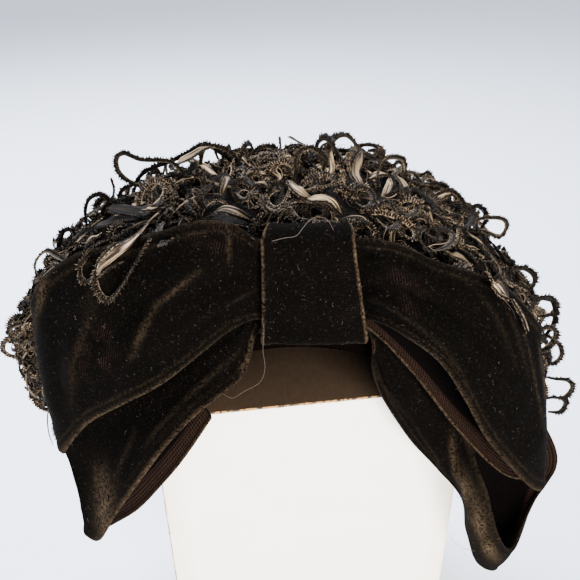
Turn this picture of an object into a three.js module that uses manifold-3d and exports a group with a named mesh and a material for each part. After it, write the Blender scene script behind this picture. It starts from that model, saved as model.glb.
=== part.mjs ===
// A half hat covered with trimmed feather loops, with a two tier velvet bow, resting on a plain box.
// Millimetres, +Z up. The origin is the centre of the box's underside, and the bow faces -Y.
import * as THREE from "three";
import { mergeVertices } from "three/addons/utils/BufferGeometryUtils.js";
import Module from "manifold-3d";

const wasm = await Module();
wasm.setup();

const BOX_WIDTH = 152;
const BOX_DEPTH = 100;
const BOX_HEIGHT = 180;
const BOX_TURN = THREE.MathUtils.degToRad(7.5);
const LID_BOARD = 1.5;
const GAP = 0.3;

const CLOTH_WALL = 1.4;
const CROWN_WALL = 1.8;
const CROWN_SHIFT_X = -2;
const RIM_RADIUS = 88.5;
const ARCH_HALF_ANGLE = THREE.MathUtils.degToRad(86);
const ARCH_TILT = THREE.MathUtils.degToRad(2.5);
const CROWN_HALF_DEPTH = 58;
const CROWN_RISE = 48;
const CROWN_POWER = 2 / 2.6;
const CROWN_AROUND = 36;
const CROWN_UP = 8;

const PAD_CLEARANCE = 0.6;
const PAD_THICKNESS = 8;
const PAD_LEFT_EXTRA = 17;
const PAD_FRONT_LESS = 3;
const PAD_LUMP = 2.8;
const PAD_EDGE_FULLNESS = 0.35;
const PAD_FULLNESS_GROWTH = 1.2;
const PAD_TOP_STARTS = 5;
const FIELD_INSET = 0.04;
const STRIP_WIDTH = 3;
const STRIP_THICKNESS = 2.4;
const STRIP_STEPS = 8;
const LOOP_CLEARANCE = 0.5;
const LOOP_SHORTEST = 17;
const LOOP_LONGEST = 28;
const LOOP_NARROWEST = 0.17;
const LOOP_WIDEST = 0.26;
const LOOP_TURN = 2.4;
const TOP_LEAN = 0.5;

const KNOT_WALL = 1.6;
const KNOT_BULGE = 2.2;
const CREASE_AT = 0.42;
const CREASE_WIDTH = 0.13;
const GATHER_DEPTH = 0.9;
const GATHER_COUNT = 3;
const ACROSS_STEPS = 7;
const STEPS_PER_ROW = 2;

const VELVET = { color: 0x17110f, roughness: 0.95, metalness: 0 };
const FEATHER = { color: 0x241d17, roughness: 0.7, metalness: 0 };
const FOUNDATION = { color: 0x1a1412, roughness: 0.9, metalness: 0 };
const WHITE_CARD = { color: 0xf2eee6, roughness: 0.6, metalness: 0 };
const BROWN_CARD = { color: 0x8b684a, roughness: 0.8, metalness: 0 };

// Turns rows of numbers into records with named columns.
function table(columns, rows) {
  return rows.map((row) => Object.fromEntries(columns.map((name, k) => [name, row[k]])));
}

// Each row is one section across a ribbon: its upper edge, its lower edge, how far its middle
// bulges out of the loop, and how deep the crease along it is. The first and last rows lie
// inside the knot. The middle rows go round the outer fold.
const RIBBON = ["topX", "topY", "topZ", "lowX", "lowY", "lowZ", "bulge", "crease"];

const UPPER_LEFT = table(RIBBON, [
  [1, -71, 272, 1, -71, 237, 0, 0],
  [-15, -71, 273, -16, -71, 240, 0, 0],
  [-25, -73, 281, -27, -77, 240, 2, 1],
  [-38, -72, 282, -41, -81, 230, 4, 3],
  [-53, -70, 277, -56, -83, 218, 5, 4],
  [-70, -67, 271, -74, -81, 206, 6, 4],
  [-87, -63, 265, -91, -76, 192, 6, 2],
  [-103, -59, 253, -106, -69, 172, 4, 0],
  [-113, -52, 238, -111, -62, 162, 2, 0],
  [-108, -46, 238, -105, -58.7, 170, -1, 0],
  [-94, -48, 246, -92, -65, 188, -2, 0],
  [-75, -54, 255, -76, -71, 204, -1, 0],
  [-54, -60, 263, -57, -73, 218, 0, 0],
  [-32, -66, 271, -34, -71, 232, 0, 0],
  [-14, -68.6, 273, -15, -68.6, 241, 0, 0],
  [1, -68.6, 272, 1, -68.6, 238, 0, 0],
]);

const LOWER_LEFT = table(RIBBON, [
  [1, -66.2, 262, 1, -66.2, 233, 0, 0],
  [-15, -66.2, 261, -17, -66.2, 233, 0, 0],
  [-31, -66, 255, -24, -70, 213, -1, 1],
  [-53, -63, 243, -35, -74, 204, -2, 2],
  [-76, -60, 227, -46, -78, 196, -3, 2],
  [-90, -57, 211, -58, -80, 183, -4, 1],
  [-100, -54, 194, -70, -80, 166, -5, 1],
  [-108, -54, 183, -86, -78, 140, -7, 0],
  [-114, -54, 174, -99, -74, 116, -5, 0],
  [-116, -51, 168, -108, -67, 112, -2, 0],
  [-110, -47, 172, -99, -61, 110, -1, 0],
  [-101, -48, 184, -80, -66.5, 129, -1, 0],
  [-89, -50, 199, -66, -68, 147, -1, 0],
  [-75, -52.5, 214, -54, -68.5, 164, 0, 0],
  [-60, -56, 224, -40, -68, 187, 0, 0],
]);

const UPPER_RIGHT = table(RIBBON, [
  [3, -71, 274, 3, -71, 237, 0, 0],
  [18, -71, 274, 23, -71, 239, 0, 0],
  [29, -73, 274, 31, -77, 241, 1, 1],
  [39, -72, 270, 41, -82, 237, 3, 3],
  [52, -70, 263, 54, -83, 226, 4, 3],
  [68, -67, 256, 66, -82, 207, 5, 2],
  [82, -63, 247, 80, -79, 181, 6, 1],
  [95, -58, 233, 104, -72, 148, 5, 0],
  [103, -50, 220, 115, -65, 136, 2, 0],
  [100, -45, 216, 110, -60, 138, 2, 0],
  [90, -52, 223, 93, -65, 149, 2, 0],
  [67, -61, 241, 68, -69, 180, 1, 0],
  [42, -67, 257, 44, -71, 215, 0, 0],
  [18, -68.6, 270, 23, -68.6, 236, 0, 0],
  [3, -68.6, 272, 3, -68.6, 236, 0, 0],
]);

const LOWER_RIGHT = table(RIBBON, [
  [3, -66.2, 262, 3, -66.2, 233, 0, 0],
  [21, -66.2, 257, 26, -66.2, 232.5, 0, 0],
  [35, -65, 240, 30, -65, 210, 0, 0],
  [46, -64, 222, 36, -62.5, 192, 2, 0],
  [59, -61, 202, 50, -60, 166, 3, 0],
  [70, -61, 178, 67, -57, 142, 4, 0],
  [77, -73, 164, 82, -55, 120, 4, 0],
  [83, -79, 148, 86, -58, 98, 3, 0],
  [95, -76, 114, 94, -59, 76, 2, 0],
  [108, -65, 95, 104, -58, 70, 1, 0],
  [118, -54, 114, 97, -48, 87, 2, 0],
  [129, -46, 134, 80, -47, 127, 1, 0],
  [119, -45, 159, 59, -53, 165, -1, 0],
  [90, -50, 204, 41, -59.5, 205, 0, 0],
  [50, -59.5, 240, 31, -60.8, 222, 0, 0],
  [21, -63.6, 257, 23, -63.6, 232.5, 0, 0],
  [3, -63.6, 262, 3, -63.6, 233, 0, 0],
]);

// Each row is one section of the knot, a band wrapped round the gathered ribbons: where the
// band stands in depth and height, and its left and right edges.
const KNOT = table(["y", "z", "left", "right"], [
  [-72.6, 275, -14.5, 18.5],
  [-74.2, 266, -14.8, 19.5],
  [-74.8, 253, -15.2, 21.5],
  [-74.6, 240, -15.6, 23.7],
  [-73.2, 230.6, -16, 25.4],
  [-67, 228, -15, 24],
  [-60.8, 231, -13, 20],
  [-60.4, 253, -12, 18],
  [-60.8, 273, -12, 17],
  [-67, 277, -13, 18],
]);

// Each row is one field of feathers: the steps round the crown that it covers, the lowest step
// up the crown, how far its loops lean downhill, and their number.
const FIELDS = table(["name", "from", "to", "lowest", "lean", "loops"], [
  ["feathers_right", -3, 4, 0.15, 0.5, 12],
  ["feathers_back", 4, 14, 0.15, 0.8, 16],
  ["feathers_left", 14, 22, 0.15, 0.5, 12],
  ["feathers_front", 22, 33, 3, -0.1, 12],
]);
const TOP_LOOPS = 26;

// The outline of a bent feather, as shares of its length and of its half width.
const TEARDROP = table(["along", "across"], [
  [-0.05, -0.35],
  [0.35, -0.7],
  [0.68, -1],
  [0.92, -0.72],
  [1, 0],
  [0.92, 0.72],
  [0.68, 1],
  [0.35, 0.7],
  [-0.05, 0.35],
]);

// A repeatable spread of pairs between 0 and 1 that never bunch up.
function spreadPair(index) {
  return [(index * 0.7548776662) % 1, (index * 0.5698402910) % 1];
}

function signedPower(value, power) {
  return Math.sign(value) * Math.abs(value) ** power;
}

// Closes an outer and an inner grid of points into one wall. Where the rows wrap, the last
// row joins the first.
function closedWall(outer, inner, wraps) {
  const rows = outer.length;
  const width = outer[0].length;
  const points = [...outer.flat(), ...inner.flat()];
  const at = (side, i, j) => side * rows * width + (i % rows) * width + j;
  const faces = [];
  const quad = (a, b, c, d) => faces.push(a, b, c, a, c, d);
  const spans = wraps ? rows : rows - 1;
  for (let i = 0; i < spans; i++) {
    for (let j = 0; j < width - 1; j++) {
      quad(at(0, i, j), at(0, i + 1, j), at(0, i + 1, j + 1), at(0, i, j + 1));
      quad(at(1, i, j), at(1, i, j + 1), at(1, i + 1, j + 1), at(1, i + 1, j));
    }
    quad(at(0, i, 0), at(1, i, 0), at(1, i + 1, 0), at(0, i + 1, 0));
    quad(at(0, i, width - 1), at(0, i + 1, width - 1), at(1, i + 1, width - 1), at(1, i, width - 1));
  }
  if (!wraps) {
    for (let j = 0; j < width - 1; j++) {
      quad(at(0, 0, j), at(0, 0, j + 1), at(1, 0, j + 1), at(1, 0, j));
      quad(at(0, rows - 1, j), at(1, rows - 1, j), at(1, rows - 1, j + 1), at(0, rows - 1, j + 1));
    }
  }
  return solidFrom(points, faces);
}

// Merges the shared points, drops faces without area and turns the faces outwards.
function solidFrom(points, faces) {
  const geometry = new THREE.BufferGeometry().setFromPoints(points);
  geometry.setIndex(faces);
  const merged = mergeVertices(geometry, 0.001);
  const index = [...merged.index.array];
  const kept = [];
  for (let k = 0; k < index.length; k += 3) {
    const [a, b, c] = index.slice(k, k + 3);
    if (a !== b && b !== c && c !== a) {
      kept.push(a, b, c);
    }
  }
  merged.setIndex(kept);
  if (signedVolume(merged) < 0) {
    merged.setIndex(kept.reverse());
  }
  return merged;
}

function signedVolume(geometry) {
  const position = geometry.getAttribute("position");
  const corner = (k) => new THREE.Vector3().fromBufferAttribute(position, geometry.index.getX(k));
  let volume = 0;
  for (let k = 0; k < geometry.index.count; k += 3) {
    volume += corner(k).dot(corner(k + 1).cross(corner(k + 2))) / 6;
  }
  return volume;
}

// The unit normal of a grid of points at one place, from its neighbours.
function gridNormal(grid, i, j, side, wraps) {
  const count = grid.length;
  const before = wraps ? (i + count - 1) % count : Math.max(i - 1, 0);
  const after = wraps ? (i + 1) % count : Math.min(i + 1, count - 1);
  const along = grid[after][j].clone().sub(grid[before][j]);
  const across = grid[i][Math.min(j + 1, grid[i].length - 1)].clone();
  across.sub(grid[i][Math.max(j - 1, 0)]);
  return along.cross(across).normalize().multiplyScalar(side);
}

function thickSheet(grid, side, wall, wraps) {
  const moved = (distance) => grid.map((row, i) => row.map((point, j) => {
    return point.clone().addScaledVector(gridNormal(grid, i, j, side, wraps), distance);
  }));
  return closedWall(moved(wall / 2), moved(-wall / 2), wraps);
}

// A smooth value between the rows of a table: the points of one edge, or one number.
function edgeCurve(rows, edge) {
  const points = rows.map((row) => new THREE.Vector3(row[`${edge}X`], row[`${edge}Y`], row[`${edge}Z`]));
  return new THREE.CatmullRomCurve3(points);
}

function between(rows, column, place) {
  const low = Math.min(Math.floor(place), rows.length - 2);
  return THREE.MathUtils.lerp(rows[low][column], rows[low + 1][column], place - low);
}

// How far a point across the ribbon stands out: a bulge, a crease and small gathers by the knot.
function ribbonRelief(rows, place, across) {
  const bulge = between(rows, "bulge", place) * Math.sin(Math.PI * across);
  const crease = between(rows, "crease", place) * Math.exp(-(((across - CREASE_AT) / CREASE_WIDTH) ** 2));
  const nearKnot = Math.min(1, Math.max(0, place - 1)) * Math.max(0, 1 - place / 5);
  const gather = GATHER_DEPTH * nearKnot * Math.cos(2 * Math.PI * GATHER_COUNT * across);
  return bulge - crease + gather;
}

// One loop of the bow: a single ribbon from the knot, round its outer fold and back.
function ribbonLoop(rows, side) {
  const top = edgeCurve(rows, "top");
  const low = edgeCurve(rows, "low");
  const steps = (rows.length - 1) * STEPS_PER_ROW;
  const flat = [];
  for (let i = 0; i <= steps; i++) {
    const upper = top.getPoint(i / steps);
    const lower = low.getPoint(i / steps);
    flat.push(Array.from({ length: ACROSS_STEPS + 1 }, (_, j) => {
      return upper.clone().lerp(lower, j / ACROSS_STEPS);
    }));
  }
  const shaped = flat.map((row, i) => row.map((point, j) => {
    const relief = ribbonRelief(rows, i / STEPS_PER_ROW, j / ACROSS_STEPS);
    return point.clone().addScaledVector(gridNormal(flat, i, j, side, false), relief);
  }));
  return thickSheet(shaped, side, CLOTH_WALL, false);
}

// The knot: a band of the same velvet, padded in front and open at both sides.
function knotBand() {
  const columns = 6;
  const front = KNOT.findIndex((row) => row.y > -70);
  const grid = KNOT.map((row, i) => Array.from({ length: columns + 1 }, (_, j) => {
    const across = j / columns;
    const bulge = i < front ? KNOT_BULGE * Math.sin(Math.PI * across) : 0;
    return new THREE.Vector3(THREE.MathUtils.lerp(row.left, row.right, across), row.y - bulge, row.z);
  }));
  return thickSheet(grid, 1, KNOT_WALL, true);
}

// Half depth of the crown's rim at an angle along the arch.
function rimHalfDepth(arch) {
  const along = Math.min(1, Math.abs(arch - ARCH_TILT) / ARCH_HALF_ANGLE);
  return CROWN_HALF_DEPTH * (1 - along ** (2 / CROWN_POWER)) ** (CROWN_POWER / 2);
}

// The height of the arch's centre at which the rim comes to rest on the lid's side edges.
function archCentreHeight() {
  const cosine = Math.cos(BOX_TURN);
  const sine = Math.sin(BOX_TURN);
  let height = -Infinity;
  for (let degrees = -85; degrees <= 85; degrees += 0.25) {
    const arch = THREE.MathUtils.degToRad(degrees);
    for (const end of [-1, 1]) {
      const x = CROWN_SHIFT_X + RIM_RADIUS * Math.sin(arch);
      const y = end * (rimHalfDepth(arch) - CROWN_WALL);
      const inside = Math.abs(x * cosine + y * sine) <= BOX_WIDTH / 2 + GAP
        && Math.abs(y * cosine - x * sine) <= BOX_DEPTH / 2 + GAP;
      if (inside) {
        height = Math.max(height, BOX_HEIGHT + GAP - RIM_RADIUS * Math.cos(arch));
      }
    }
  }
  return height;
}

const ARCH_HEIGHT = archCentreHeight();

// A point of the crown: `around` goes round it from the viewer's right, `up` from the rim to the
// top, and `lift` moves the point off the crown's outer face.
function crownPoint(around, up, lift) {
  const spread = signedPower(Math.cos(up), CROWN_POWER);
  const arch = ARCH_TILT + ARCH_HALF_ANGLE * spread * signedPower(Math.cos(around), CROWN_POWER);
  const y = CROWN_HALF_DEPTH * spread * signedPower(Math.sin(around), CROWN_POWER);
  const radius = RIM_RADIUS + CROWN_RISE * signedPower(Math.sin(up), CROWN_POWER);
  const sharp = 2 - CROWN_POWER;
  const flatness = signedPower(Math.cos(up), sharp);
  const normal = new THREE.Vector3(
    flatness * signedPower(Math.cos(around), sharp) / (ARCH_HALF_ANGLE * radius),
    flatness * signedPower(Math.sin(around), sharp) / CROWN_HALF_DEPTH,
    signedPower(Math.sin(up), sharp) / CROWN_RISE,
  ).normalize();
  const outwards = new THREE.Vector3(Math.sin(arch), 0, Math.cos(arch));
  const tangent = new THREE.Vector3(Math.cos(arch), 0, -Math.sin(arch));
  const direction = tangent.multiplyScalar(normal.x).addScaledVector(outwards, normal.z);
  direction.y = normal.y;
  const point = outwards.multiplyScalar(radius);
  point.x += CROWN_SHIFT_X;
  point.y = y;
  point.z += ARCH_HEIGHT;
  return { point: point.addScaledVector(direction, lift), direction };
}

function aroundAngle(step) {
  return step / CROWN_AROUND * 2 * Math.PI;
}

function upAngle(step) {
  return Math.min(step / CROWN_UP, 1) * Math.PI / 2;
}

// A closed wall over part of the crown, between two lifts off its outer face.
function crownWall(stations, levels, outer, inner, wraps) {
  const face = (lift) => stations.map((i) => levels.map((j) => {
    const around = aroundAngle(i);
    const up = upAngle(j);
    return crownPoint(around, up, lift(around, up)).point;
  }));
  return closedWall(face(outer), face(inner), wraps);
}

// The steps round the crown of one side field, with a hair's breadth left free at its ends.
function sideStations(from, to) {
  const stations = Array.from({ length: to - from + 1 }, (_, i) => from + i);
  stations[0] += FIELD_INSET;
  stations[stations.length - 1] -= FIELD_INSET;
  return stations;
}

function sideLevels(lowest) {
  const inner = [1, 2, 3, 4].filter((level) => level > lowest);
  return [lowest, ...inner, PAD_TOP_STARTS - FIELD_INSET];
}

const ALL_ROUND = Array.from({ length: CROWN_AROUND }, (_, i) => i);
const TOP_LEVELS = [PAD_TOP_STARTS + FIELD_INSET, 6, 7, CROWN_UP];

// The crown's foundation is sewn from four side panels and a top, like a bent oval dome that is
// open towards the head.
function foundationPieces() {
  const outside = () => 0;
  const inside = () => -CROWN_WALL;
  const panels = FIELDS.map(({ name, from, to }) => {
    const wall = crownWall(sideStations(from, to), sideLevels(0), outside, inside, false);
    return piece(name.replace("feathers", "crown"), wall, FOUNDATION);
  });
  const top = crownWall(ALL_ROUND, TOP_LEVELS, outside, inside, true);
  return [...panels, piece("crown_top", top, FOUNDATION)];
}

// Thickness of the feather pad: fuller on the viewer's left, in soft lumps, and thinner behind
// the bow and at its lower edge.
function padLift(around, up) {
  const { x, y } = crownPoint(around, up, 0).point;
  const lumps = Math.sin(x / 7 + 1.5 * Math.sin(y / 9)) * Math.cos(y / 8 + 1.5 * Math.sin(x / 11));
  const fullness = Math.min(1, PAD_EDGE_FULLNESS + up * PAD_FULLNESS_GROWTH);
  const leftward = (Math.max(0, -Math.cos(around)) * Math.sin(2 * up)) ** 2;
  const frontward = Math.max(0, -Math.sin(around)) * Math.cos(up);
  const extra = PAD_LEFT_EXTRA * leftward - PAD_FRONT_LESS * frontward;
  const thickness = PAD_THICKNESS + extra + PAD_LUMP * lumps;
  return PAD_CLEARANCE + thickness * fullness;
}

// The backings of the feathers: one for each side field, and a low dome for the topmost field.
function padSide({ from, to, lowest }) {
  return crownWall(sideStations(from, to), sideLevels(lowest), padLift, () => PAD_CLEARANCE, false);
}

function padTop() {
  return crownWall(ALL_ROUND, TOP_LEVELS, padLift, () => PAD_CLEARANCE, true);
}

// One trimmed feather bent into a teardrop loop, standing on the pad. Its section is a wedge,
// narrow along the rib. It leans downhill and to one side, and `extra` thickens it to keep
// other pieces clear.
function featherLoop({ around, up, seed, lean }, extra) {
  const [first, second] = spreadPair(seed + 11);
  const [third, fourth] = spreadPair(seed + 57);
  const foot = crownPoint(around, up, PAD_THICKNESS * 0.5);
  const downhill = crownPoint(around, Math.max(up - 0.05, 0), 0).point.sub(crownPoint(around, up, 0).point);
  downhill.normalize();
  const turn = (fourth - 0.5) * LOOP_TURN;
  const sideways = foot.direction.clone().cross(downhill).normalize();
  const slope = downhill.clone().multiplyScalar(Math.cos(turn)).addScaledVector(sideways, Math.sin(turn));
  const rise = foot.direction.clone().addScaledVector(slope, lean * (0.4 + 1.2 * first)).normalize();
  const open = sideways.applyAxisAngle(rise, third * Math.PI).normalize();
  open.addScaledVector(rise, -open.dot(rise)).normalize();
  const length = THREE.MathUtils.lerp(LOOP_SHORTEST, LOOP_LONGEST, second);
  const wide = length * THREE.MathUtils.lerp(LOOP_NARROWEST, LOOP_WIDEST, (first + fourth) / 2);
  const path = new THREE.CatmullRomCurve3(TEARDROP.map(({ along, across }) => {
    return foot.point.clone().addScaledVector(rise, along * length).addScaledVector(open, across * wide);
  }));
  const section = new THREE.Shape([
    new THREE.Vector2(0, -STRIP_WIDTH / 2 - extra),
    new THREE.Vector2(STRIP_THICKNESS / 2 + extra, STRIP_WIDTH / 2 + extra),
    new THREE.Vector2(-STRIP_THICKNESS / 2 - extra, STRIP_WIDTH / 2 + extra),
  ]);
  return new THREE.ExtrudeGeometry(section, { steps: STRIP_STEPS, extrudePath: path, bevelEnabled: false });
}

function toSolid(geometry) {
  const bare = geometry.clone();
  bare.deleteAttribute("normal");
  bare.deleteAttribute("uv");
  const merged = mergeVertices(bare, 0.001);
  return new wasm.Manifold(new wasm.Mesh({
    numProp: 3,
    vertProperties: new Float32Array(merged.getAttribute("position").array),
    triVerts: new Uint32Array(merged.index.array),
  }));
}

function toGeometry(solid) {
  const mesh = solid.getMesh();
  const geometry = new THREE.BufferGeometry();
  geometry.setAttribute("position", new THREE.BufferAttribute(mesh.vertProperties, 3));
  geometry.setIndex(new THREE.BufferAttribute(mesh.triVerts, 1));
  return geometry;
}

// Fuses to a backing the loops that touch none of the other pieces.
function fuseLoops(backing, others, places) {
  let solid = toSolid(backing);
  for (const place of places) {
    const thick = toSolid(featherLoop(place, LOOP_CLEARANCE));
    const free = others.every((other) => thick.intersect(other).isEmpty());
    if (free) {
      solid = solid.add(toSolid(featherLoop(place, 0)));
    }
  }
  return toGeometry(solid);
}

// Places for the loops of one side field, and of the top.
function sidePlaces({ from, to, lowest, lean, loops }, index) {
  return Array.from({ length: loops }, (_, k) => {
    const [s, t] = spreadPair(k + 1 + 40 * index);
    const around = aroundAngle(from + 0.4 + s * (to - from - 0.8));
    const up = upAngle(lowest + 0.6 + t * (PAD_TOP_STARTS - 0.9 - lowest));
    return { around, up, seed: k + 100 * index, lean };
  });
}

function topPlaces() {
  return Array.from({ length: TOP_LOOPS }, (_, k) => {
    const [s, t] = spreadPair(k + 301);
    const up = upAngle(PAD_TOP_STARTS + 0.35 + 2.4 * t);
    return { around: 2 * Math.PI * s, up, seed: k + 700, lean: TOP_LEAN };
  });
}

function piece(name, geometry, look) {
  const shape = geometry.clone();
  shape.computeVertexNormals();
  const mesh = new THREE.Mesh(shape, new THREE.MeshStandardMaterial({ ...look, flatShading: true }));
  mesh.name = name;
  return mesh;
}

// The box is a plain closed carton with a brown board on top.
function displayBox() {
  const group = new THREE.Group();
  const bodyHeight = BOX_HEIGHT - LID_BOARD - GAP;
  const body = piece("display_box", new THREE.BoxGeometry(BOX_WIDTH, BOX_DEPTH, bodyHeight), WHITE_CARD);
  body.position.z = bodyHeight / 2;
  const lid = piece("box_top_board", new THREE.BoxGeometry(BOX_WIDTH, BOX_DEPTH, LID_BOARD), BROWN_CARD);
  lid.position.z = BOX_HEIGHT - LID_BOARD / 2;
  group.add(body, lid);
  group.rotation.z = BOX_TURN;
  return group;
}

function bowPieces() {
  return [
    piece("bow_knot", knotBand(), VELVET),
    piece("bow_upper_loop_left", ribbonLoop(UPPER_LEFT, 1), VELVET),
    piece("bow_upper_loop_right", ribbonLoop(UPPER_RIGHT, -1), VELVET),
    piece("bow_lower_loop_left", ribbonLoop(LOWER_LEFT, 1), VELVET),
    piece("bow_lower_loop_right", ribbonLoop(LOWER_RIGHT, -1), VELVET),
  ];
}

function featherPieces(bow) {
  const fields = FIELDS.map((field, index) => {
    return { name: field.name, backing: padSide(field), places: sidePlaces(field, index) };
  });
  fields.push({ name: "feathers_top", backing: padTop(), places: topPlaces() });
  const bowSolids = bow.map((mesh) => toSolid(mesh.geometry));
  const solids = fields.map((field) => toSolid(field.backing));
  return fields.map((field, index) => {
    const others = [...bowSolids, ...solids.filter((_, k) => k !== index)];
    const fused = fuseLoops(field.backing, others, field.places);
    solids[index] = toSolid(fused);
    return piece(field.name, fused, FEATHER);
  });
}

const bow = bowPieces();
const headpiece = new THREE.Group();
headpiece.add(displayBox());
headpiece.add(...foundationPieces());
headpiece.add(...featherPieces(bow));
headpiece.add(...bow);

export default headpiece;
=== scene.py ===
# A half hat covered with looped, trimmed feathers, with a two tier velvet bow and knot in front,
# resting on a plain closed carton. Lengths are worked out in millimetres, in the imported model's
# own frame, and turned to metres where a mesh is made.
import math
import bmesh
import bpy
import numpy as np
from mathutils import Matrix, Vector, noise
from mathutils.bvhtree import BVHTree
from mathutils.kdtree import KDTree


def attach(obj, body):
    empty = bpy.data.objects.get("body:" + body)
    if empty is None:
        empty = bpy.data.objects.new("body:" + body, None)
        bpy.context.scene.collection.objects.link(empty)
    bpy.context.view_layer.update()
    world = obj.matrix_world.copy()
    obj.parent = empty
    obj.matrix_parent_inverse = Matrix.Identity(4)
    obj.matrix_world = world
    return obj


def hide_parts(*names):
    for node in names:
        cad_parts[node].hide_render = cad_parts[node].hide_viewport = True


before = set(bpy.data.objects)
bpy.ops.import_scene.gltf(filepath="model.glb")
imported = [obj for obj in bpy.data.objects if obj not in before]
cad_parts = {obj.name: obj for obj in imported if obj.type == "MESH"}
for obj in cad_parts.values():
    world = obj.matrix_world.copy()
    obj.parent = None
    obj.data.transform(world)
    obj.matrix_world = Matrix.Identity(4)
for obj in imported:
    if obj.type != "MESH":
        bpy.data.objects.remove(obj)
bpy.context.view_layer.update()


# The view: a camera a forearm's length away, above the box and looking thirty degrees down at it.
# The light is a pale room, with one wide window high behind the hat and a soft one in front.
CAMERA_PLACE = (-0.0047, -0.2866, 0.3775)
CAMERA_PITCH = math.radians(30.06)
CAMERA_ROLL = math.radians(-0.8)
CAMERA_LENS = 40.34
FLOOR_HALF = 6.0
FLOOR_COLOUR = "#ccd3de"
ROOM_COLOUR = "#eef2fa"
ROOM_STRENGTH = 1.8


def linear(code):
    """An sRGB hex colour as the linear colour that a shader works with."""
    shares = [int(code[k:k + 2], 16) / 255 for k in (1, 3, 5)]
    return (*[s / 12.92 if s <= 0.04045 else ((s + 0.055) / 1.055) ** 2.4 for s in shares], 1.0)


def connect(tree, node, inputs):
    """Fills a node's inputs. Each gets a value, a hex colour, a socket to link, or a node, whose
    first output in use is then linked."""
    for name, value in inputs.items():
        if isinstance(value, bpy.types.Node):
            value = next(socket for socket in value.outputs if socket.enabled)
        if isinstance(value, bpy.types.NodeSocket):
            tree.links.new(value, node.inputs[name])
        else:
            is_colour = isinstance(value, str) and value.startswith("#")
            node.inputs[name].default_value = linear(value) if is_colour else value


def add(tree, kind, inputs=None, **settings):
    """Adds a node with its settings and links."""
    made = tree.nodes.new(kind)
    for name, value in settings.items():
        setattr(made, name, value)
    connect(tree, made, inputs or {})
    return made


def start_material(name, surface):
    """A new material, its node tree and its surface shader, with that shader's own values set."""
    material = bpy.data.materials.new(name)
    material.use_nodes = True
    tree = material.node_tree
    shader = tree.nodes["Principled BSDF"]
    connect(tree, shader, surface)
    return material, tree, shader


def mesh_piece(name, points, faces, materials, smooth=True):
    """A mesh object at the origin, from points in millimetres."""
    mesh = bpy.data.meshes.new(name)
    mesh.from_pydata([tuple(0.001 * c for c in p) for p in points], [], [tuple(f) for f in faces])
    mesh.validate()
    for material in materials:
        mesh.materials.append(material)
    mesh.shade_smooth() if smooth else mesh.shade_flat()
    made = bpy.data.objects.new(name, mesh)
    bpy.context.collection.objects.link(made)
    return made


camera = bpy.data.objects.new("view_camera", bpy.data.cameras.new("view_camera"))
camera.data.lens = CAMERA_LENS
camera.data.sensor_width = 36
camera.data.clip_start = 0.01
level_right = Vector((1, 0, 0))
level_up = Vector((0, math.sin(CAMERA_PITCH), math.cos(CAMERA_PITCH)))
camera_right = level_right * math.cos(CAMERA_ROLL) + level_up * math.sin(CAMERA_ROLL)
camera_up = level_up * math.cos(CAMERA_ROLL) - level_right * math.sin(CAMERA_ROLL)
camera_turn = Matrix((camera_right, camera_up, camera_right.cross(camera_up))).transposed()
camera.matrix_world = Matrix.Translation(CAMERA_PLACE) @ camera_turn.to_4x4()
bpy.context.collection.objects.link(camera)
bpy.context.scene.camera = camera

room = bpy.data.worlds.new("pale_room")
bpy.context.scene.world = room
room.use_nodes = True
connect(room.node_tree, room.node_tree.nodes["Background"], {"Color": ROOM_COLOUR, "Strength": ROOM_STRENGTH})

for name, place, size, power, colour in [
    ("window_behind", (-0.35, 0.75, 1.5), 0.8, 125, "#f6f8ff"),
    ("window_left", (-1.3, -0.2, 0.9), 0.7, 22, "#f6f7fb"),
    ("window_front", (0.5, -1.35, 0.3), 0.8, 120, "#fff6ea"),
]:
    lamp = bpy.data.lights.new(name, "AREA")
    lamp.size = size
    lamp.energy = power
    lamp.color = linear(colour)[:3]
    holder = bpy.data.objects.new(name, lamp)
    holder.location = place
    holder.rotation_euler = (Vector((0, 0, 0.2)) - Vector(place)).to_track_quat("-Z", "Y").to_euler()
    bpy.context.collection.objects.link(holder)

painted_floor, tree, shader = start_material("matt_painted_floor", {"Roughness": 0.85})
grain = add(tree, "ShaderNodeTexNoise", {"Scale": 9.0, "Detail": 3.0})
tint = add(tree, "ShaderNodeMix", {0: grain, 6: FLOOR_COLOUR, 7: "#cdd5e2"}, data_type="RGBA")
connect(tree, shader, {"Base Color": tint})
corner = 1000 * FLOOR_HALF
floor = mesh_piece(
    "floor",
    [(-corner, -corner, -0.2), (corner, -corner, -0.2), (corner, corner, -0.2), (-corner, corner, -0.2)],
    [(0, 1, 2, 3)],
    [painted_floor],
)


# The box: a closed carton of white coated card, standing on its end. Its edges are folded, so
# they are softly rounded, and the card is slightly bellied and marked by handling.
BOX_WIDTH = 152.0
BOX_DEPTH = 100.0
BOX_HEIGHT = 180.0
BOX_TURN = math.radians(7.5)
LID_BOARD = 1.5
BOARD_GAP = 0.3
FOLD_RADIUS = 1.1


def on_root(piece, slot, *nodes):
    """Lets a finished piece ride on the part's only body, and hides the imported nodes that it stands in for.
    The slot is not used.
    """
    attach(piece, "root")
    if nodes:
        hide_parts(*nodes)
    return piece


def rounded_ring(half_width, half_depth, radius, steps=5, spacing=12.0):
    """Points round a rectangle with rounded corners, close enough together to be bent a little."""
    ring = []
    for k, (sx, sy) in enumerate([(1, 1), (-1, 1), (-1, -1), (1, -1)]):
        centre = np.array([sx * (half_width - radius), sy * (half_depth - radius)])
        for step in range(steps + 1):
            angle = math.pi / 2 * (k + step / steps)
            ring.append(centre + radius * np.array([math.cos(angle), math.sin(angle)]))
    dense = []
    for here, after in zip(ring, ring[1:] + ring[:1]):
        count = max(1, int(np.linalg.norm(after - here) / spacing))
        dense += [here + (after - here) * k / count for k in range(count)]
    return dense


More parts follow.
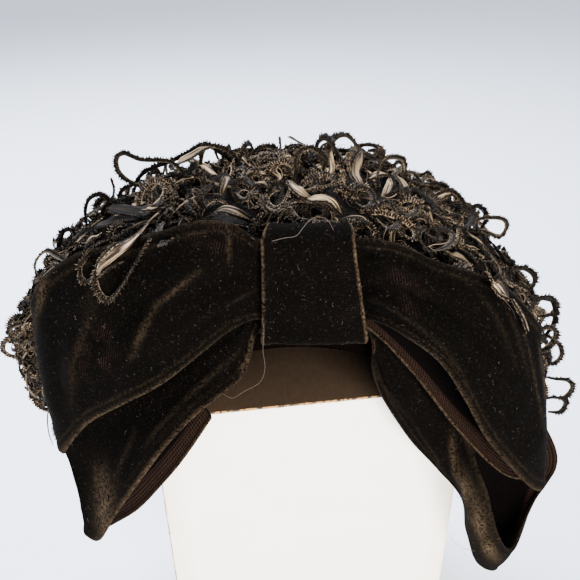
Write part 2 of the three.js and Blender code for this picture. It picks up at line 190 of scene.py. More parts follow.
def stacked_rings(name, rings, materials):
    """A closed solid from rings of equally many points, with a flat face at either end."""
    width = len(rings[0])
    points = [p for ring in rings for p in ring]
    faces = [tuple(reversed(range(width)))]
    for i in range(len(rings) - 1):
        for j in range(width):
            a, b = i * width + j, i * width + (j + 1) % width
            faces.append((a, b, b + width, a + width))
    faces.append(tuple((len(rings) - 1) * width + j for j in range(width)))
    return mesh_piece(name, points, faces, materials)


def turned(point):
    """A point of the box, turned with it about the upright axis."""
    x, y, z = point
    cosine, sine = math.cos(BOX_TURN), math.sin(BOX_TURN)
    return (x * cosine - y * sine, x * sine + y * cosine, z)


# Clay coated carton board, calendered: an even off-white sheet with a faint fibre cloud, a soft
# half gloss, and slightly yellowed and scuffed folds.
coated_card, tree, shader = start_material("coated_carton_board", {"Roughness": 0.5, "IOR": 1.48})
where = add(tree, "ShaderNodeTexCoord").outputs["Object"]
cloud = add(tree, "ShaderNodeTexNoise", {"Vector": where, "Scale": 45.0, "Detail": 5.0})
fibre = add(tree, "ShaderNodeTexNoise", {"Vector": where, "Scale": 900.0, "Detail": 2.0})
fold = add(tree, "ShaderNodeAttribute", attribute_name="fold").outputs["Fac"]
clouded = add(tree, "ShaderNodeMix", {0: cloud, 6: "#efe9dc", 7: "#f8f5ec"}, data_type="RGBA")
worn = add(tree, "ShaderNodeMath", {0: fold, 1: cloud}, operation="MULTIPLY")
edged = add(tree, "ShaderNodeMix", {0: worn, 6: clouded, 7: "#c9a877"}, data_type="RGBA")
relief = add(tree, "ShaderNodeBump", {"Height": fibre, "Strength": 0.12, "Distance": 0.0003})
connect(tree, shader, {"Base Color": edged, "Normal": relief})

# The carton's body bellies out by under a millimetre between its folds.
def carton_ring(z, bulge):
    ring = []
    for x, y in rounded_ring(BOX_WIDTH / 2, BOX_DEPTH / 2, FOLD_RADIUS):
        out = bulge * (math.cos(math.pi * x / BOX_WIDTH) + math.cos(math.pi * y / BOX_DEPTH))
        share = 1 + out / 90
        ring.append(turned((x * share, y * share, z)))
    return ring


def mark_points(mesh, title, values):
    """Stores a value for each point of a mesh, which a material reads by its title."""
    stored = mesh.attributes.new(title, "FLOAT", "POINT")
    stored.data.foreach_set("value", np.asarray(values, np.float32).ravel())


def mark_folds(piece, reach):
    """Stores how near each point is to the carton's upright folds and to its upper and lower ends."""
    near = []
    cosine, sine = math.cos(-BOX_TURN), math.sin(-BOX_TURN)
    for vertex in piece.data.vertices:
        x, y, z = (1000 * c for c in vertex.co)
        along, through = abs(x * cosine - y * sine), abs(x * sine + y * cosine)
        corner = max(BOX_WIDTH / 2 - along, BOX_DEPTH / 2 - through)
        end = min(z, BOX_HEIGHT - z)
        near.append(max(0, 1 - min(corner, end) / reach))
    mark_points(piece.data, "fold", near)


body_top = BOX_HEIGHT - LID_BOARD - BOARD_GAP
heights = [0, 0.4, 1.2]
heights += [body_top * k / 15 for k in range(1, 15)]
heights += [body_top - 1.2, body_top - 0.4, body_top]
rings = []
for z in heights:
    nearest = min(z, body_top - z)
    tucked = max(0, 1.2 - nearest) ** 2 * 0.45
    ring = carton_ring(z, 0.45 * math.sin(math.pi * z / body_top))
    rings.append([(x * (1 - tucked / 80), y * (1 - tucked / 60), h) for x, y, h in ring])
carton = stacked_rings("carton_body", rings, [coated_card])
mark_folds(carton, 2.5)
on_root(carton, "white_card", "display_box")


# The box's top: a bare sheet of brown kraft board laid over the carton's end. It is pressed from
# wood pulp, so short fibres and darker flecks show. Its face is painted much darker than plain
# kraft, partly as painted shade for the hat's shadow over it, so its cut edges show lighter than its face.
kraft_board, tree, shader = start_material("kraft_board", {"Roughness": 0.85, "Specular IOR Level": 0.1})
where = add(tree, "ShaderNodeTexCoord").outputs["Object"]
stretched = add(tree, "ShaderNodeMapping", {"Vector": where, "Scale": (1.0, 0.28, 1.0)})
fibre = add(tree, "ShaderNodeTexNoise", {"Vector": stretched, "Scale": 700.0, "Detail": 4.0})
cloud = add(tree, "ShaderNodeTexNoise", {"Vector": where, "Scale": 38.0, "Detail": 4.0})
fleck = add(tree, "ShaderNodeTexVoronoi", {"Vector": stretched, "Scale": 420.0})
# The face's browns are painted dark: partly painted shade for the hat's shadow over the top.
brown = add(tree, "ShaderNodeMix", {0: cloud, 6: "#17100a", 7: "#271c12"}, data_type="RGBA")
fibred = add(tree, "ShaderNodeMix", {0: fibre, 6: brown, 7: "#2f251b"}, data_type="RGBA")
flecked = add(tree, "ShaderNodeMapRange", {"Value": fleck, 1: 0.05, 2: 0.11, 3: 0.5, 4: 0.0})
relief = add(tree, "ShaderNodeBump", {"Height": fibre, "Strength": 0.25, "Distance": 0.0004})
colour = add(tree, "ShaderNodeMix", {0: flecked, 6: fibred, 7: "#100b08"}, data_type="RGBA")
connect(tree, shader, {"Base Color": colour, "Normal": relief})

lid_rings = []
for z, inwards in [(0, 0.25), (0.3, 0), (LID_BOARD - 0.35, 0), (LID_BOARD, 0.3)]:
    ring = rounded_ring(BOX_WIDTH / 2 - inwards, BOX_DEPTH / 2 - inwards, FOLD_RADIUS, spacing=4.0)
    lid_rings.append([turned((x, y, BOX_HEIGHT - LID_BOARD + z)) for x, y in ring])
lid = stacked_rings("carton_top_board", lid_rings, [kraft_board])
on_root(lid, "brown_card", "box_top_board")

# The chipped rim where the board was cut: tan fibres with dark gaps. The dashes are drawn a
# little longer than the real chips, so that they show.
chipped_edge, tree, shader = start_material("cut_board_edge", {"Roughness": 0.75})
where = add(tree, "ShaderNodeTexCoord").outputs["Object"]
run = add(tree, "ShaderNodeMapping", {"Vector": where, "Scale": (1.0, 0.2, 0.2)})
chips = add(tree, "ShaderNodeTexNoise", {"Vector": run, "Scale": 420.0, "Detail": 2.0})
chipped = add(tree, "ShaderNodeMapRange", {"Value": chips, 1: 0.45, 2: 0.58})
edge_colour = add(tree, "ShaderNodeMix", {0: chipped, 6: "#9a7038", 7: "#2c1c10"}, data_type="RGBA")
connect(tree, shader, {"Base Color": edge_colour})


def edge_tape(name, start, end, width, depth):
    """A thin rounded strip along one edge of the carton, from one point to another."""
    start, end = np.array(start, float), np.array(end, float)
    along = (end - start) / np.linalg.norm(end - start)
    side = np.array([0.0, -1.0, 0.0]) if abs(along[2]) < 0.5 else np.array([-0.7071, -0.7071, 0.0])
    other = np.cross(along, side)
    rings = []
    for k in range(61):
        centre = start + (end - start) * k / 60
        swell = 1 + 0.35 * math.sin(k * 1.7) * math.sin(k * 0.61)
        ring = []
        for angle in np.linspace(0, 2 * math.pi, 9)[:-1]:
            out = side * (depth * swell * math.cos(angle)) + other * (width * swell * math.sin(angle))
            ring.append(turned(tuple(centre + out)))
        rings.append(ring)
    strip = stacked_rings(name, rings, [chipped_edge])
    return on_root(strip, "brown_card")


front = -BOX_DEPTH / 2
edge_tape("cut_edge_front", (-75, front - 0.15, 179.2), (75, front - 0.15, 179.2), 0.62, 0.4)
edge_tape("cut_edge_left", (-75.5, front + 0.35, 4), (-75.5, front + 0.35, 177), 0.3, 0.3)
edge_tape("cut_edge_right", (-75.75, 48, 179.2), (-75.75, -48, 179.2), 0.5, 0.3)


# The bow's ribbons: four loops of one wide cotton velvet ribbon, cut on the straight, backed with a
# stiff open mesh and turned under at both edges. Each loop runs from the knot round its outer
# fold and back into the knot. A row is one section across: upper edge x y z, lower edge x y z,
# how far the middle bulges, and how deep the crease along it is.
RIBBON_WALL = 1.3
CREASE_AT = 0.42
CREASE_WIDTH = 0.13
ROW_STEPS = 9
ACROSS_STEPS = 44
MESH_WIDTH = 8.5
HEM_WIDTH = 4.2
HEM_RISE = 0.55
UPPER_LEFT = np.array([
    [1, -71, 272, 1, -71, 237, 0, 0],
    [-15, -71, 273, -16, -71, 240, 0, 0],
    [-25, -73, 281, -27, -77, 240, 2, 1],
    [-38, -72, 282, -41, -81, 230, 4, 3],
    [-53, -70, 277, -56, -83, 218, 5, 4],
    [-70, -67, 271, -74, -81, 206, 6, 4],
    [-87, -63, 265, -91, -76, 192, 6, 2],
    [-103, -59, 253, -106, -69, 172, 4, 0],
    [-113, -52, 238, -111, -62, 162, 2, 0],
    [-108, -46, 238, -105, -58.7, 170, -1, 0],
    [-94, -48, 246, -92, -65, 188, -2, 0],
    [-75, -54, 255, -76, -71, 204, -1, 0],
    [-54, -60, 263, -57, -73, 218, 0, 0],
    [-32, -66, 271, -34, -71, 232, 0, 0],
    [-14, -68.6, 273, -15, -68.6, 241, 0, 0],
    [1, -68.6, 272, 1, -68.6, 238, 0, 0],
])
LOWER_LEFT = np.array([
    [1, -66.2, 262, 1, -66.2, 233, 0, 0],
    [-15, -66.2, 261, -17, -66.2, 233, 0, 0],
    [-31, -66, 255, -24, -70, 213, -1, 1],
    [-53, -63, 243, -35, -74, 204, -2, 2],
    [-76, -60, 227, -46, -78, 196, -3, 2],
    [-90, -57, 211, -58, -80, 183, -4, 1],
    [-100, -54, 194, -70, -80, 166, -5, 1],
    [-108, -54, 183, -86, -78, 140, -7, 0],
    [-114, -54, 174, -99, -74, 116, -5, 0],
    [-116, -51, 168, -108, -67, 112, -2, 0],
    [-110, -47, 172, -99, -61, 110, -1, 0],
    [-101, -48, 184, -80, -66.5, 129, -1, 0],
    [-89, -50, 199, -66, -68, 147, -1, 0],
    [-75, -52.5, 214, -54, -68.5, 164, 0, 0],
    [-60, -56, 224, -40, -68, 187, 0, 0],
])
UPPER_RIGHT = np.array([
    [3, -71, 274, 3, -71, 237, 0, 0],
    [18, -71, 274, 23, -71, 239, 0, 0],
    [29, -73, 274, 31, -77, 241, 1, 1],
    [39, -72, 270, 41, -82, 237, 3, 3],
    [52, -70, 263, 54, -83, 226, 4, 3],
    [68, -67, 256, 66, -82, 207, 5, 2],
    [82, -63, 247, 80, -79, 181, 6, 1],
    [95, -58, 233, 104, -72, 148, 5, 0],
    [103, -50, 220, 115, -65, 136, 2, 0],
    [100, -45, 216, 110, -60, 138, 2, 0],
    [90, -52, 223, 93, -65, 149, 2, 0],
    [67, -61, 241, 68, -69, 180, 1, 0],
    [42, -67, 257, 44, -71, 215, 0, 0],
    [18, -68.6, 270, 23, -68.6, 236, 0, 0],
    [3, -68.6, 272, 3, -68.6, 236, 0, 0],
])
LOWER_RIGHT = np.array([
    [3, -66.2, 262, 3, -66.2, 233, 0, 0],
    [21, -66.2, 257, 26, -66.2, 232.5, 0, 0],
    [35, -65, 240, 30, -65, 210, 0, 0],
    [46, -64, 222, 36, -62.5, 192, 2, 0],
    [59, -61, 202, 50, -60, 166, 3, 0],
    [70, -61, 178, 67, -57, 142, 4, 0],
    [77, -73, 164, 82, -55, 120, 4, 0],
    [83, -79, 148, 86, -58, 98, 3, 0],
    [95, -76, 114, 94, -59, 76, 2, 0],
    [108, -65, 95, 104, -58, 70, 1, 0],
    [118, -54, 114, 97, -48, 87, 2, 0],
    [129, -46, 134, 80, -47, 127, 1, 0],
    [119, -45, 159, 59, -53, 165, -1, 0],
    [90, -50, 204, 41, -59.5, 205, 0, 0],
    [50, -59.5, 240, 31, -60.8, 222, 0, 0],
    [21, -63.6, 257, 23, -63.6, 232.5, 0, 0],
    [3, -63.6, 262, 3, -63.6, 233, 0, 0],
])

# Folds pressed or worn into each loop: from and to as rows along the loop and shares across it,
# then the fold's half width and its height in millimetres, and how far its crest is painted
# lighter, partly as worn pile and partly as painted highlight.
FOLDS = {
    "bow_upper_loop_left": [
        (2.9, 0.35, 4, 0.45, 5, 2, 0.3),
        (4, 0.45, 4.5, 0.7, 6, 1.8, 0.3),
        (3.2, 0.6, 2.5, 0.55, 6, -2.2, 0),
        (1.2, 0, 2.3, 0.33, 3, 1.2, 0),
        (1, 0.23, 2.2, 0.53, 3.5, -1.2, 0),
        (1.1, 0.58, 2.2, 0.73, 3, 1, 0.1),
        (4.8, 0.05, 5.6, 0.28, 7, 1.2, 0.1),
        (6.8, 0.03, 7.3, 0.15, 4, 0.6, 0.55),
        (1.9, 0.7, 4.2, 0.88, 3.5, -1.1, 0),
        (5.4, 0.28, 6.2, 0.8, 9, 1.5, 0.12),
        (6.5, 0.35, 6.5, 0.88, 6, -1.2, 0),
        (2.1, 0, 2.1, 0.33, 1.6, 0.6, 0.25),
        (2.5, 0, 2.5, 0.3, 1.4, -0.5, 0),
        (3.5, 0.08, 4.6, 0.3, 6, -1, 0),
        (4.3, 1, 6, 1, 3, 0.8, 0.2),
    ],
    "bow_lower_loop_left": [
        (2, 0.75, 4.1, 0.85, 4, 1.2, 0.15),
        (4.1, 0.85, 5.6, 0.85, 4, 1.2, 0.15),
        (2.8, 0.58, 5, 0.55, 5, -1.3, 0),
        (7.4, 0.75, 7.4, 1, 11, 0.5, 0.9),
        (1.3, 0.9, 1.6, 0.93, 2.5, 0.3, 0.6),
        (1.6, 0.93, 2.1, 0.93, 2.2, 0.3, 0.5),
        (5.6, 0.68, 7.2, 0.83, 6, 1.4, 0.15),
        (4.6, 0.83, 6.7, 1, 4, -1, 0),
        (7.4, 0.48, 7.9, 0.83, 3, 0.4, 0.4),
    ],
    "bow_upper_loop_right": [
        (1.3, 0.2, 2.5, 0.05, 2.4, -1.4, 0),
        (1.6, 0.7, 3.6, 0.83, 5.5, 1.3, 0.1),
        (3.6, 0.83, 5.1, 0.95, 6, 1.2, 0.1),
        (3.4, 0.12, 4.4, 0.25, 8, -1.6, 0),
        (4.4, 0.25, 5.3, 0.6, 8, -1.3, 0),
        (3.4, 0.08, 3.9, 0.08, 6, -2.2, 0),
        (7.1, 0.18, 7.4, 0.45, 2.5, 0.3, 0.6),
        (1.3, 0.05, 2.2, 0.2, 3, 1, 0),
        (1.3, 0.55, 2.5, 0.62, 3, -1, 0),
        (5.7, 0.1, 6.5, 0.4, 7, 1.4, 0.1),
        (6.4, 0.18, 7.2, 0.6, 5, 0.5, 0.25),
        (4.8, 0.12, 6.1, 0.4, 6, 1, 0.08),
        (4, 1, 5.8, 1, 4, -0.8, 0),
    ],
    "bow_lower_loop_right": [
        (1.5, 1, 3.8, 0.75, 5, 1, 0.1),
        (3.8, 0.75, 5.3, 0.85, 5, 1, 0.1),
        (5.2, 0.3, 5.8, 0.4, 7, 0.6, 0.5),
        (5.8, 0.4, 6.8, 0.3, 9, 0.8, 0.85),
        (6.8, 0.3, 7.6, 0.28, 10, 0.9, 0.95),
        (7.6, 0.28, 8.2, 0.38, 9, 0.6, 0.85),
    ],
}
# Patches where the pile is crushed, so that the brown ground shows in a fine hatch, which partly
# stands for painted glints off the crushed pile: the middle as a row and a share across, and the
# half length and half width in millimetres.
CRUSHED_AND_GLINTING = {
    "bow_upper_loop_left": [(2.3, 0.12, 15, 8), (5.5, 0.60, 14, 9)],
    "bow_lower_loop_left": [(7.1, 0.90, 12, 9)],
    "bow_upper_loop_right": [(1.6, 0.43, 3, 5), (2.8, 0.48, 7, 15), (3.4, 0.45, 6, 5)],
    "bow_lower_loop_right": [(5.5, 0.58, 14, 5)],
}


def smooth_row(rows, place):
    """The row at a place between the table's rows, on a smooth curve through them."""
    low = min(int(place), len(rows) - 2)
    t = place - low
    a, b, c, d = (rows[min(max(low + k, 0), len(rows) - 1)] for k in (-1, 0, 1, 2))
    square, cube = 2 * a - 5 * b + 4 * c - d, 3 * b - a - 3 * c + d
    return 0.5 * (2 * b + (c - a) * t + square * t * t + cube * t ** 3)


def grid_normals(grid, side, closed):
    """Unit normals of a grid of points, pointing out of the loop."""
    if closed:
        along = np.roll(grid, -1, axis=0) - np.roll(grid, 1, axis=0)
    else:
        along = np.gradient(grid, axis=0)
    found = np.cross(along, np.gradient(grid, axis=1)) * side
    return found / np.maximum(np.linalg.norm(found, axis=2, keepdims=True), 1e-9)


def fold_share(u, v, line, width):
    """How near each point of the cloth is to a line on it, from 0 to 1, in a soft ridge."""
    (u0, v0), (u1, v1) = line
    run = np.array([u1 - u0, v1 - v0])
    t = np.clip(((u - u0) * run[0] + (v - v0) * run[1]) / (run @ run), 0, 1)
    gap = np.hypot(u - u0 - t * run[0], v - v0 - t * run[1])
    return np.exp(-(gap / width) ** 2) * (0.35 + 0.65 * np.sin(math.pi * np.clip(t, 0.08, 0.92)))


def wavy(points, size, seed):
    """A soft random value between -1 and 1 for each point, with lumps of the given size."""
    flat = points.reshape(-1, 3) / size
    found = [noise.noise(Vector(p) + Vector((seed * 7.3, seed * 3.1, 0))) for p in flat]
    return np.array(found).reshape(points.shape[:2])


def lay_flat(mesh, title, places):
    """Gives a mesh a UV map from each point's place on the flat material, in metres."""
    corners = np.zeros(len(mesh.loops), int)
    mesh.loops.foreach_get("vertex_index", corners)
    mesh.uv_layers.new(name=title).data.foreach_set("uv", np.array(places)[corners].ravel())


def cloth_piece(name, grid, normals, wall, closed, uv, marks, materials):
    """A cloth of even thickness with rounded edges. The first material is its face and edges."""
    count, width = grid.shape[:2]
    tip = lambda j, k: (grid[:, j] - grid[:, k]) / np.linalg.norm(grid[:, j] - grid[:, k], axis=1)[:, None]
    face, back = grid + normals * wall / 2, grid - normals * wall / 2
    ends = [grid[:, -1] + tip(-1, -2) * wall * 0.42, grid[:, 0] + tip(0, 1) * wall * 0.42]
    rings = np.concatenate([face, ends[0][:, None], back[:, ::-1], ends[1][:, None]], axis=1)
    order = [*range(width), width - 1, *range(width - 1, -1, -1), 0]
    size = rings.shape[1]
    faces, backs = [], []
    for i in range(count if closed else count - 1):
        after = (i + 1) % count
        for j in range(size):
            k = (j + 1) % size
            faces.append((i * size + j, i * size + k, after * size + k, after * size + j))
            backs.append(width < j < 2 * width)
    if not closed:
        for first in (0, (count - 1) * size):
            for j in range(width - 1):
                faces.append((first + j, first + j + 1, first + 2 * width - j - 1, first + 2 * width - j))
                backs.append(False)
            faces.append((first + width - 1, first + width, first + width + 1))
            faces.append((first, first + 2 * width, first + 2 * width + 1))
            backs += [False, False]
    made = mesh_piece(name, rings.reshape(-1, 3), faces, materials)
    mesh = made.data
    mesh.polygons.foreach_set("material_index", [int(b) for b in backs])
    lay_flat(mesh, "cloth", 0.001 * uv[:, order].reshape(-1, 2))
    for title, values in marks.items():
        mark_points(mesh, title, values[:, order])
    face_outwards(made)
    return made


def face_outwards(piece):
    """Merges doubled points and turns every face of a closed piece outwards."""
    work = bmesh.new()
    work.from_mesh(piece.data)
    bmesh.ops.remove_doubles(work, verts=work.verts, dist=1e-6)
    bmesh.ops.recalc_face_normals(work, faces=work.faces)
    if work.calc_volume(signed=True) < 0:
        bmesh.ops.reverse_faces(work, faces=work.faces)
    work.to_mesh(piece.data)
    work.free()


# Cut pile velvet of cotton, piece dyed black: it swallows light, so it is nearly black, with a
# weak grey bloom at grazing angles. Where it is folded or rubbed, the worn pile and the brown
# ground show; the same lighter brown is also painted along some fold crests and edges as painted
# highlight and glint. The lint on it is drawn as pale specks under half a millimetre across.
velvet, tree, shader = start_material("cotton_cut_pile_velvet", {
    "Roughness": 0.95, "Sheen Weight": 0.013, "Sheen Roughness": 0.3, "Sheen Tint": "#b9aca2",
    "Specular IOR Level": 0.01,
})
where = add(tree, "ShaderNodeTexCoord").outputs["Object"]
cloth = add(tree, "ShaderNodeUVMap", uv_map="cloth")
wear_and_glint = add(tree, "ShaderNodeAttribute", attribute_name="wear_and_glint").outputs["Fac"]
crush_and_glint = add(tree, "ShaderNodeAttribute", attribute_name="crush_and_glint").outputs["Fac"]
mottle = add(tree, "ShaderNodeTexNoise", {"Vector": where, "Scale": 55.0, "Detail": 4.0})
pile = add(tree, "ShaderNodeTexNoise", {"Vector": where, "Scale": 1100.0, "Detail": 3.0})
tufts = add(tree, "ShaderNodeMapRange", {"Value": pile, 1: 0.56, 2: 0.8})
black = add(tree, "ShaderNodeMix", {0: mottle, 6: "#020201", 7: "#040303"}, data_type="RGBA")
piled = add(tree, "ShaderNodeMix", {0: tufts, 6: black, 7: "#110e0c"}, data_type="RGBA")
slanted = add(tree, "ShaderNodeMapping", {"Vector": cloth, "Rotation": (0, 0, 0.12)})
hatch = add(tree, "ShaderNodeTexWave", {"Vector": slanted, "Scale": 270.0, "Distortion": 1.5})
cross = add(tree, "ShaderNodeTexNoise", {"Vector": cloth, "Scale": 900.0, "Detail": 2.0})
dots = add(tree, "ShaderNodeMath", {0: hatch.outputs["Fac"], 1: cross}, operation="MULTIPLY")
dotted = add(tree, "ShaderNodeMapRange", {"Value": dots, 1: 0.3, 2: 0.5})
bare = add(tree, "ShaderNodeTexNoise", {"Vector": where, "Scale": 140.0, "Detail": 3.0})
patchy = add(tree, "ShaderNodeMapRange", {"Value": bare, 1: 0.46, 2: 0.62})
# Brown hatch where the pile is crushed, partly a painted glint off the crushed pile.
crush_and_glint_hatch = add(tree, "ShaderNodeMath", {0: dotted, 1: crush_and_glint}, operation="MULTIPLY")
crush_and_glint_hatch = add(tree, "ShaderNodeMath", {0: crush_and_glint_hatch, 1: patchy}, operation="MULTIPLY")
hatched_pile = add(tree, "ShaderNodeMix", {0: crush_and_glint_hatch, 6: piled, 7: "#150d0b"}, data_type="RGBA")
streak = add(tree, "ShaderNodeTexNoise", {"Vector": where, "Scale": 900.0, "Detail": 3.0})
streaked = add(tree, "ShaderNodeMapRange", {"Value": streak, 1: 0.36, 2: 0.6})
# Lighter brown where the pile is worn, and as painted highlight on fold crests and edges.
worn_and_glinting = add(tree, "ShaderNodeMath", {0: streaked, 1: wear_and_glint}, operation="MULTIPLY")
worn = add(tree, "ShaderNodeMix", {0: worn_and_glinting, 6: hatched_pile, 7: "#44382a"}, data_type="RGBA")
lint = add(tree, "ShaderNodeTexVoronoi", {"Vector": where, "Scale": 430.0})
speck = add(tree, "ShaderNodeMapRange", {"Value": lint, 1: 0.06, 2: 0.16, 3: 0.6, 4: 0.0})
chance = add(tree, "ShaderNodeSeparateColor", {"Color": lint.outputs["Color"]})
some = add(tree, "ShaderNodeMath", {0: chance.outputs["Red"], 1: 0.5}, operation="GREATER_THAN")
shown = add(tree, "ShaderNodeMath", {0: speck, 1: some}, operation="MULTIPLY")
relief = add(tree, "ShaderNodeBump", {"Height": pile, "Strength": 0.35, "Distance": 0.0006})
colour = add(tree, "ShaderNodeMix", {0: shown, 6: worn, 7: "#2a2622"}, data_type="RGBA")
connect(tree, shader, {"Base Color": colour, "Normal": relief})

# The ribbon's backing: thin black lining, and along both edges a strip of open mesh of stiffened
# cotton, about a millimetre and a half from thread to thread, dyed dark brown.
MESH_PITCH = 0.0014
mesh_backing, tree, shader = start_material(
    "stiffened_cotton_mesh", {"Roughness": 0.95, "Specular IOR Level": 0.02})
cloth = add(tree, "ShaderNodeUVMap", uv_map="cloth")
split = add(tree, "ShaderNodeSeparateXYZ", {"Vector": cloth})
threads = []
for axis in ("X", "Y"):
    turns = add(tree, "ShaderNodeMath", {0: split.outputs[axis], 1: 2 * math.pi / MESH_PITCH},
                operation="MULTIPLY")
    threads.append(add(tree, "ShaderNodeMath", {0: turns}, operation="SINE"))
woven = add(tree, "ShaderNodeMath", {0: threads[0], 1: threads[1]}, operation="MAXIMUM")
thread = add(tree, "ShaderNodeMapRange", {"Value": woven, 1: 0.1, 2: 0.8})
fuzz = add(tree, "ShaderNodeTexNoise", {"Vector": cloth, "Scale": 500.0, "Detail": 3.0})
brown = add(tree, "ShaderNodeMix", {0: fuzz, 6: "#0c0806", 7: "#241812"}, data_type="RGBA")
netted = add(tree, "ShaderNodeMix", {0: thread, 6: "#010101", 7: brown}, data_type="RGBA")
turning = add(tree, "ShaderNodeAttribute", attribute_name="turning").outputs["Fac"]
lined = add(tree, "ShaderNodeMix", {0: turning, 6: "#020101", 7: netted}, data_type="RGBA")
relief = add(tree, "ShaderNodeBump", {"Height": thread, "Strength": 0.6, "Distance": 0.0005})
connect(tree, shader, {"Base Color": lined, "Normal": relief})


def ribbon_loop(name, rows, side, seed):
    """One loop of the bow, from its table of sections. The side is 1 on the viewer's left."""
    places = np.linspace(0, len(rows) - 1, (len(rows) - 1) * ROW_STEPS + 1)
    across = np.linspace(0, 1, ACROSS_STEPS + 1)
    sections = np.array([smooth_row(rows, place) for place in places])
    upper, lower, part = sections[:, None, :3], sections[:, None, 3:6], across[None, :, None]
    flat = upper * (1 - part) + lower * part
    normals = grid_normals(flat, side, False)
    middle = flat[:, ACROSS_STEPS // 2]
    run = np.concatenate([[0], np.cumsum(np.linalg.norm(np.diff(middle, axis=0), axis=1))])
    width = float(np.mean(np.linalg.norm(flat[:, -1] - flat[:, 0], axis=1)[ROW_STEPS:-ROW_STEPS]))
    u, v = np.meshgrid(run, across * width, indexing="ij")
    share, place = v / width, places[:, None]
    relief = sections[:, 6:7] * np.sin(math.pi * share)
    relief -= sections[:, 7:8] * np.exp(-((share - CREASE_AT) / CREASE_WIDTH) ** 2)
    near_knot = np.clip(place - 1, 0, 1) * np.clip(1 - place / 5, 0, 1)
    gathers = 0.9 * np.cos(6 * math.pi * share) + 0.5 * np.cos(14 * math.pi * share + seed)
    relief = relief + near_knot * gathers
    loose = np.clip(place - 0.8, 0, 1) * np.clip(len(rows) - 1.8 - place, 0, 1)
    wear_and_glint = np.zeros_like(share)
    for start_row, start_share, end_row, end_share, half, height, wear_and_glint_share in FOLDS[name]:
        at = lambda row, part: (float(np.interp(row, places, run)), part * width)
        line = (at(start_row, start_share), at(end_row, end_share))
        relief = relief + height * fold_share(u, v, line, half)
        crest = half * (0.8 if wear_and_glint_share > 0.4 else 0.25)
        wear_and_glint = np.maximum(wear_and_glint, wear_and_glint_share * fold_share(u, v, line, crest))
    crush_and_glint = np.zeros_like(share)
    for row, part, half_long, half_wide in CRUSHED_AND_GLINTING[name]:
        far = ((u - np.interp(row, places, run)) / half_long) ** 2 + ((v - part * width) / half_wide) ** 2
        crush_and_glint = np.maximum(crush_and_glint, np.clip(1.6 - far, 0, 1))
    edge = np.minimum(v, width - v)
    hem = HEM_RISE / (1 + np.exp((edge - HEM_WIDTH) / 0.35))
    roll = -1.2 * np.clip(1 - edge / 1.8, 0, 1) ** 2
    relief = relief + loose * (0.7 * wavy(flat, 17, seed) + 0.28 * wavy(flat, 6, seed + 3))
    relief = relief + np.clip(place, 0, 1) * (hem + roll)
    # The edges and the hem line are painted lighter: partly worn pile, partly painted highlight.
    wear_and_glint = np.maximum(wear_and_glint, (0.15 + 0.4 * share) * np.clip(1.25 - edge / 1.3, 0, 1))
    wear_and_glint = np.maximum(wear_and_glint, 0.12 * np.exp(-((edge - HEM_WIDTH) / 0.7) ** 2))
    wear_and_glint = np.clip(wear_and_glint * (0.8 + 0.35 * wavy(flat, 14, seed + 5)), 0, 1)
    grid = flat + normals * relief[:, :, None]
    marks = {"wear_and_glint": wear_and_glint, "crush_and_glint": crush_and_glint, "turning": np.clip((MESH_WIDTH - edge) / 0.8, 0, 1)}
    made = cloth_piece(name + "_velvet", grid, grid_normals(grid, side, False), RIBBON_WALL, False,
                       np.stack([u, v], axis=2), marks, [velvet, mesh_backing])
    on_root(made, "velvet", name)
    return made


bow = [
    ribbon_loop("bow_upper_loop_left", UPPER_LEFT, 1, 1),
    ribbon_loop("bow_upper_loop_right", UPPER_RIGHT, -1, 2),
    ribbon_loop("bow_lower_loop_left", LOWER_LEFT, 1, 3),
    ribbon_loop("bow_lower_loop_right", LOWER_RIGHT, -1, 4),
]


# The knot: a short length of the same velvet, wrapped upright round the gathered ribbons and
# sewn behind. A row is the band's depth and height, and its left and right edges.
KNOT_WALL = 1.5
KNOT_BULGE = 2.2
KNOT = np.array([
    [-72.6, 275, -14.5, 18.5],
    [-74.2, 266, -14.8, 19.5],
    [-74.8, 253, -15.2, 21.5],
    [-74.6, 240, -15.6, 23.7],
    [-73.2, 230.6, -16, 25.4],
    [-67, 228, -15, 24],
    [-60.8, 231, -13, 20],
    [-60.4, 253, -12, 18],
    [-60.8, 273, -12, 17],
    [-67, 277, -13, 18],
])
KNOT_ROW_STEPS = 9
KNOT_ACROSS = 36


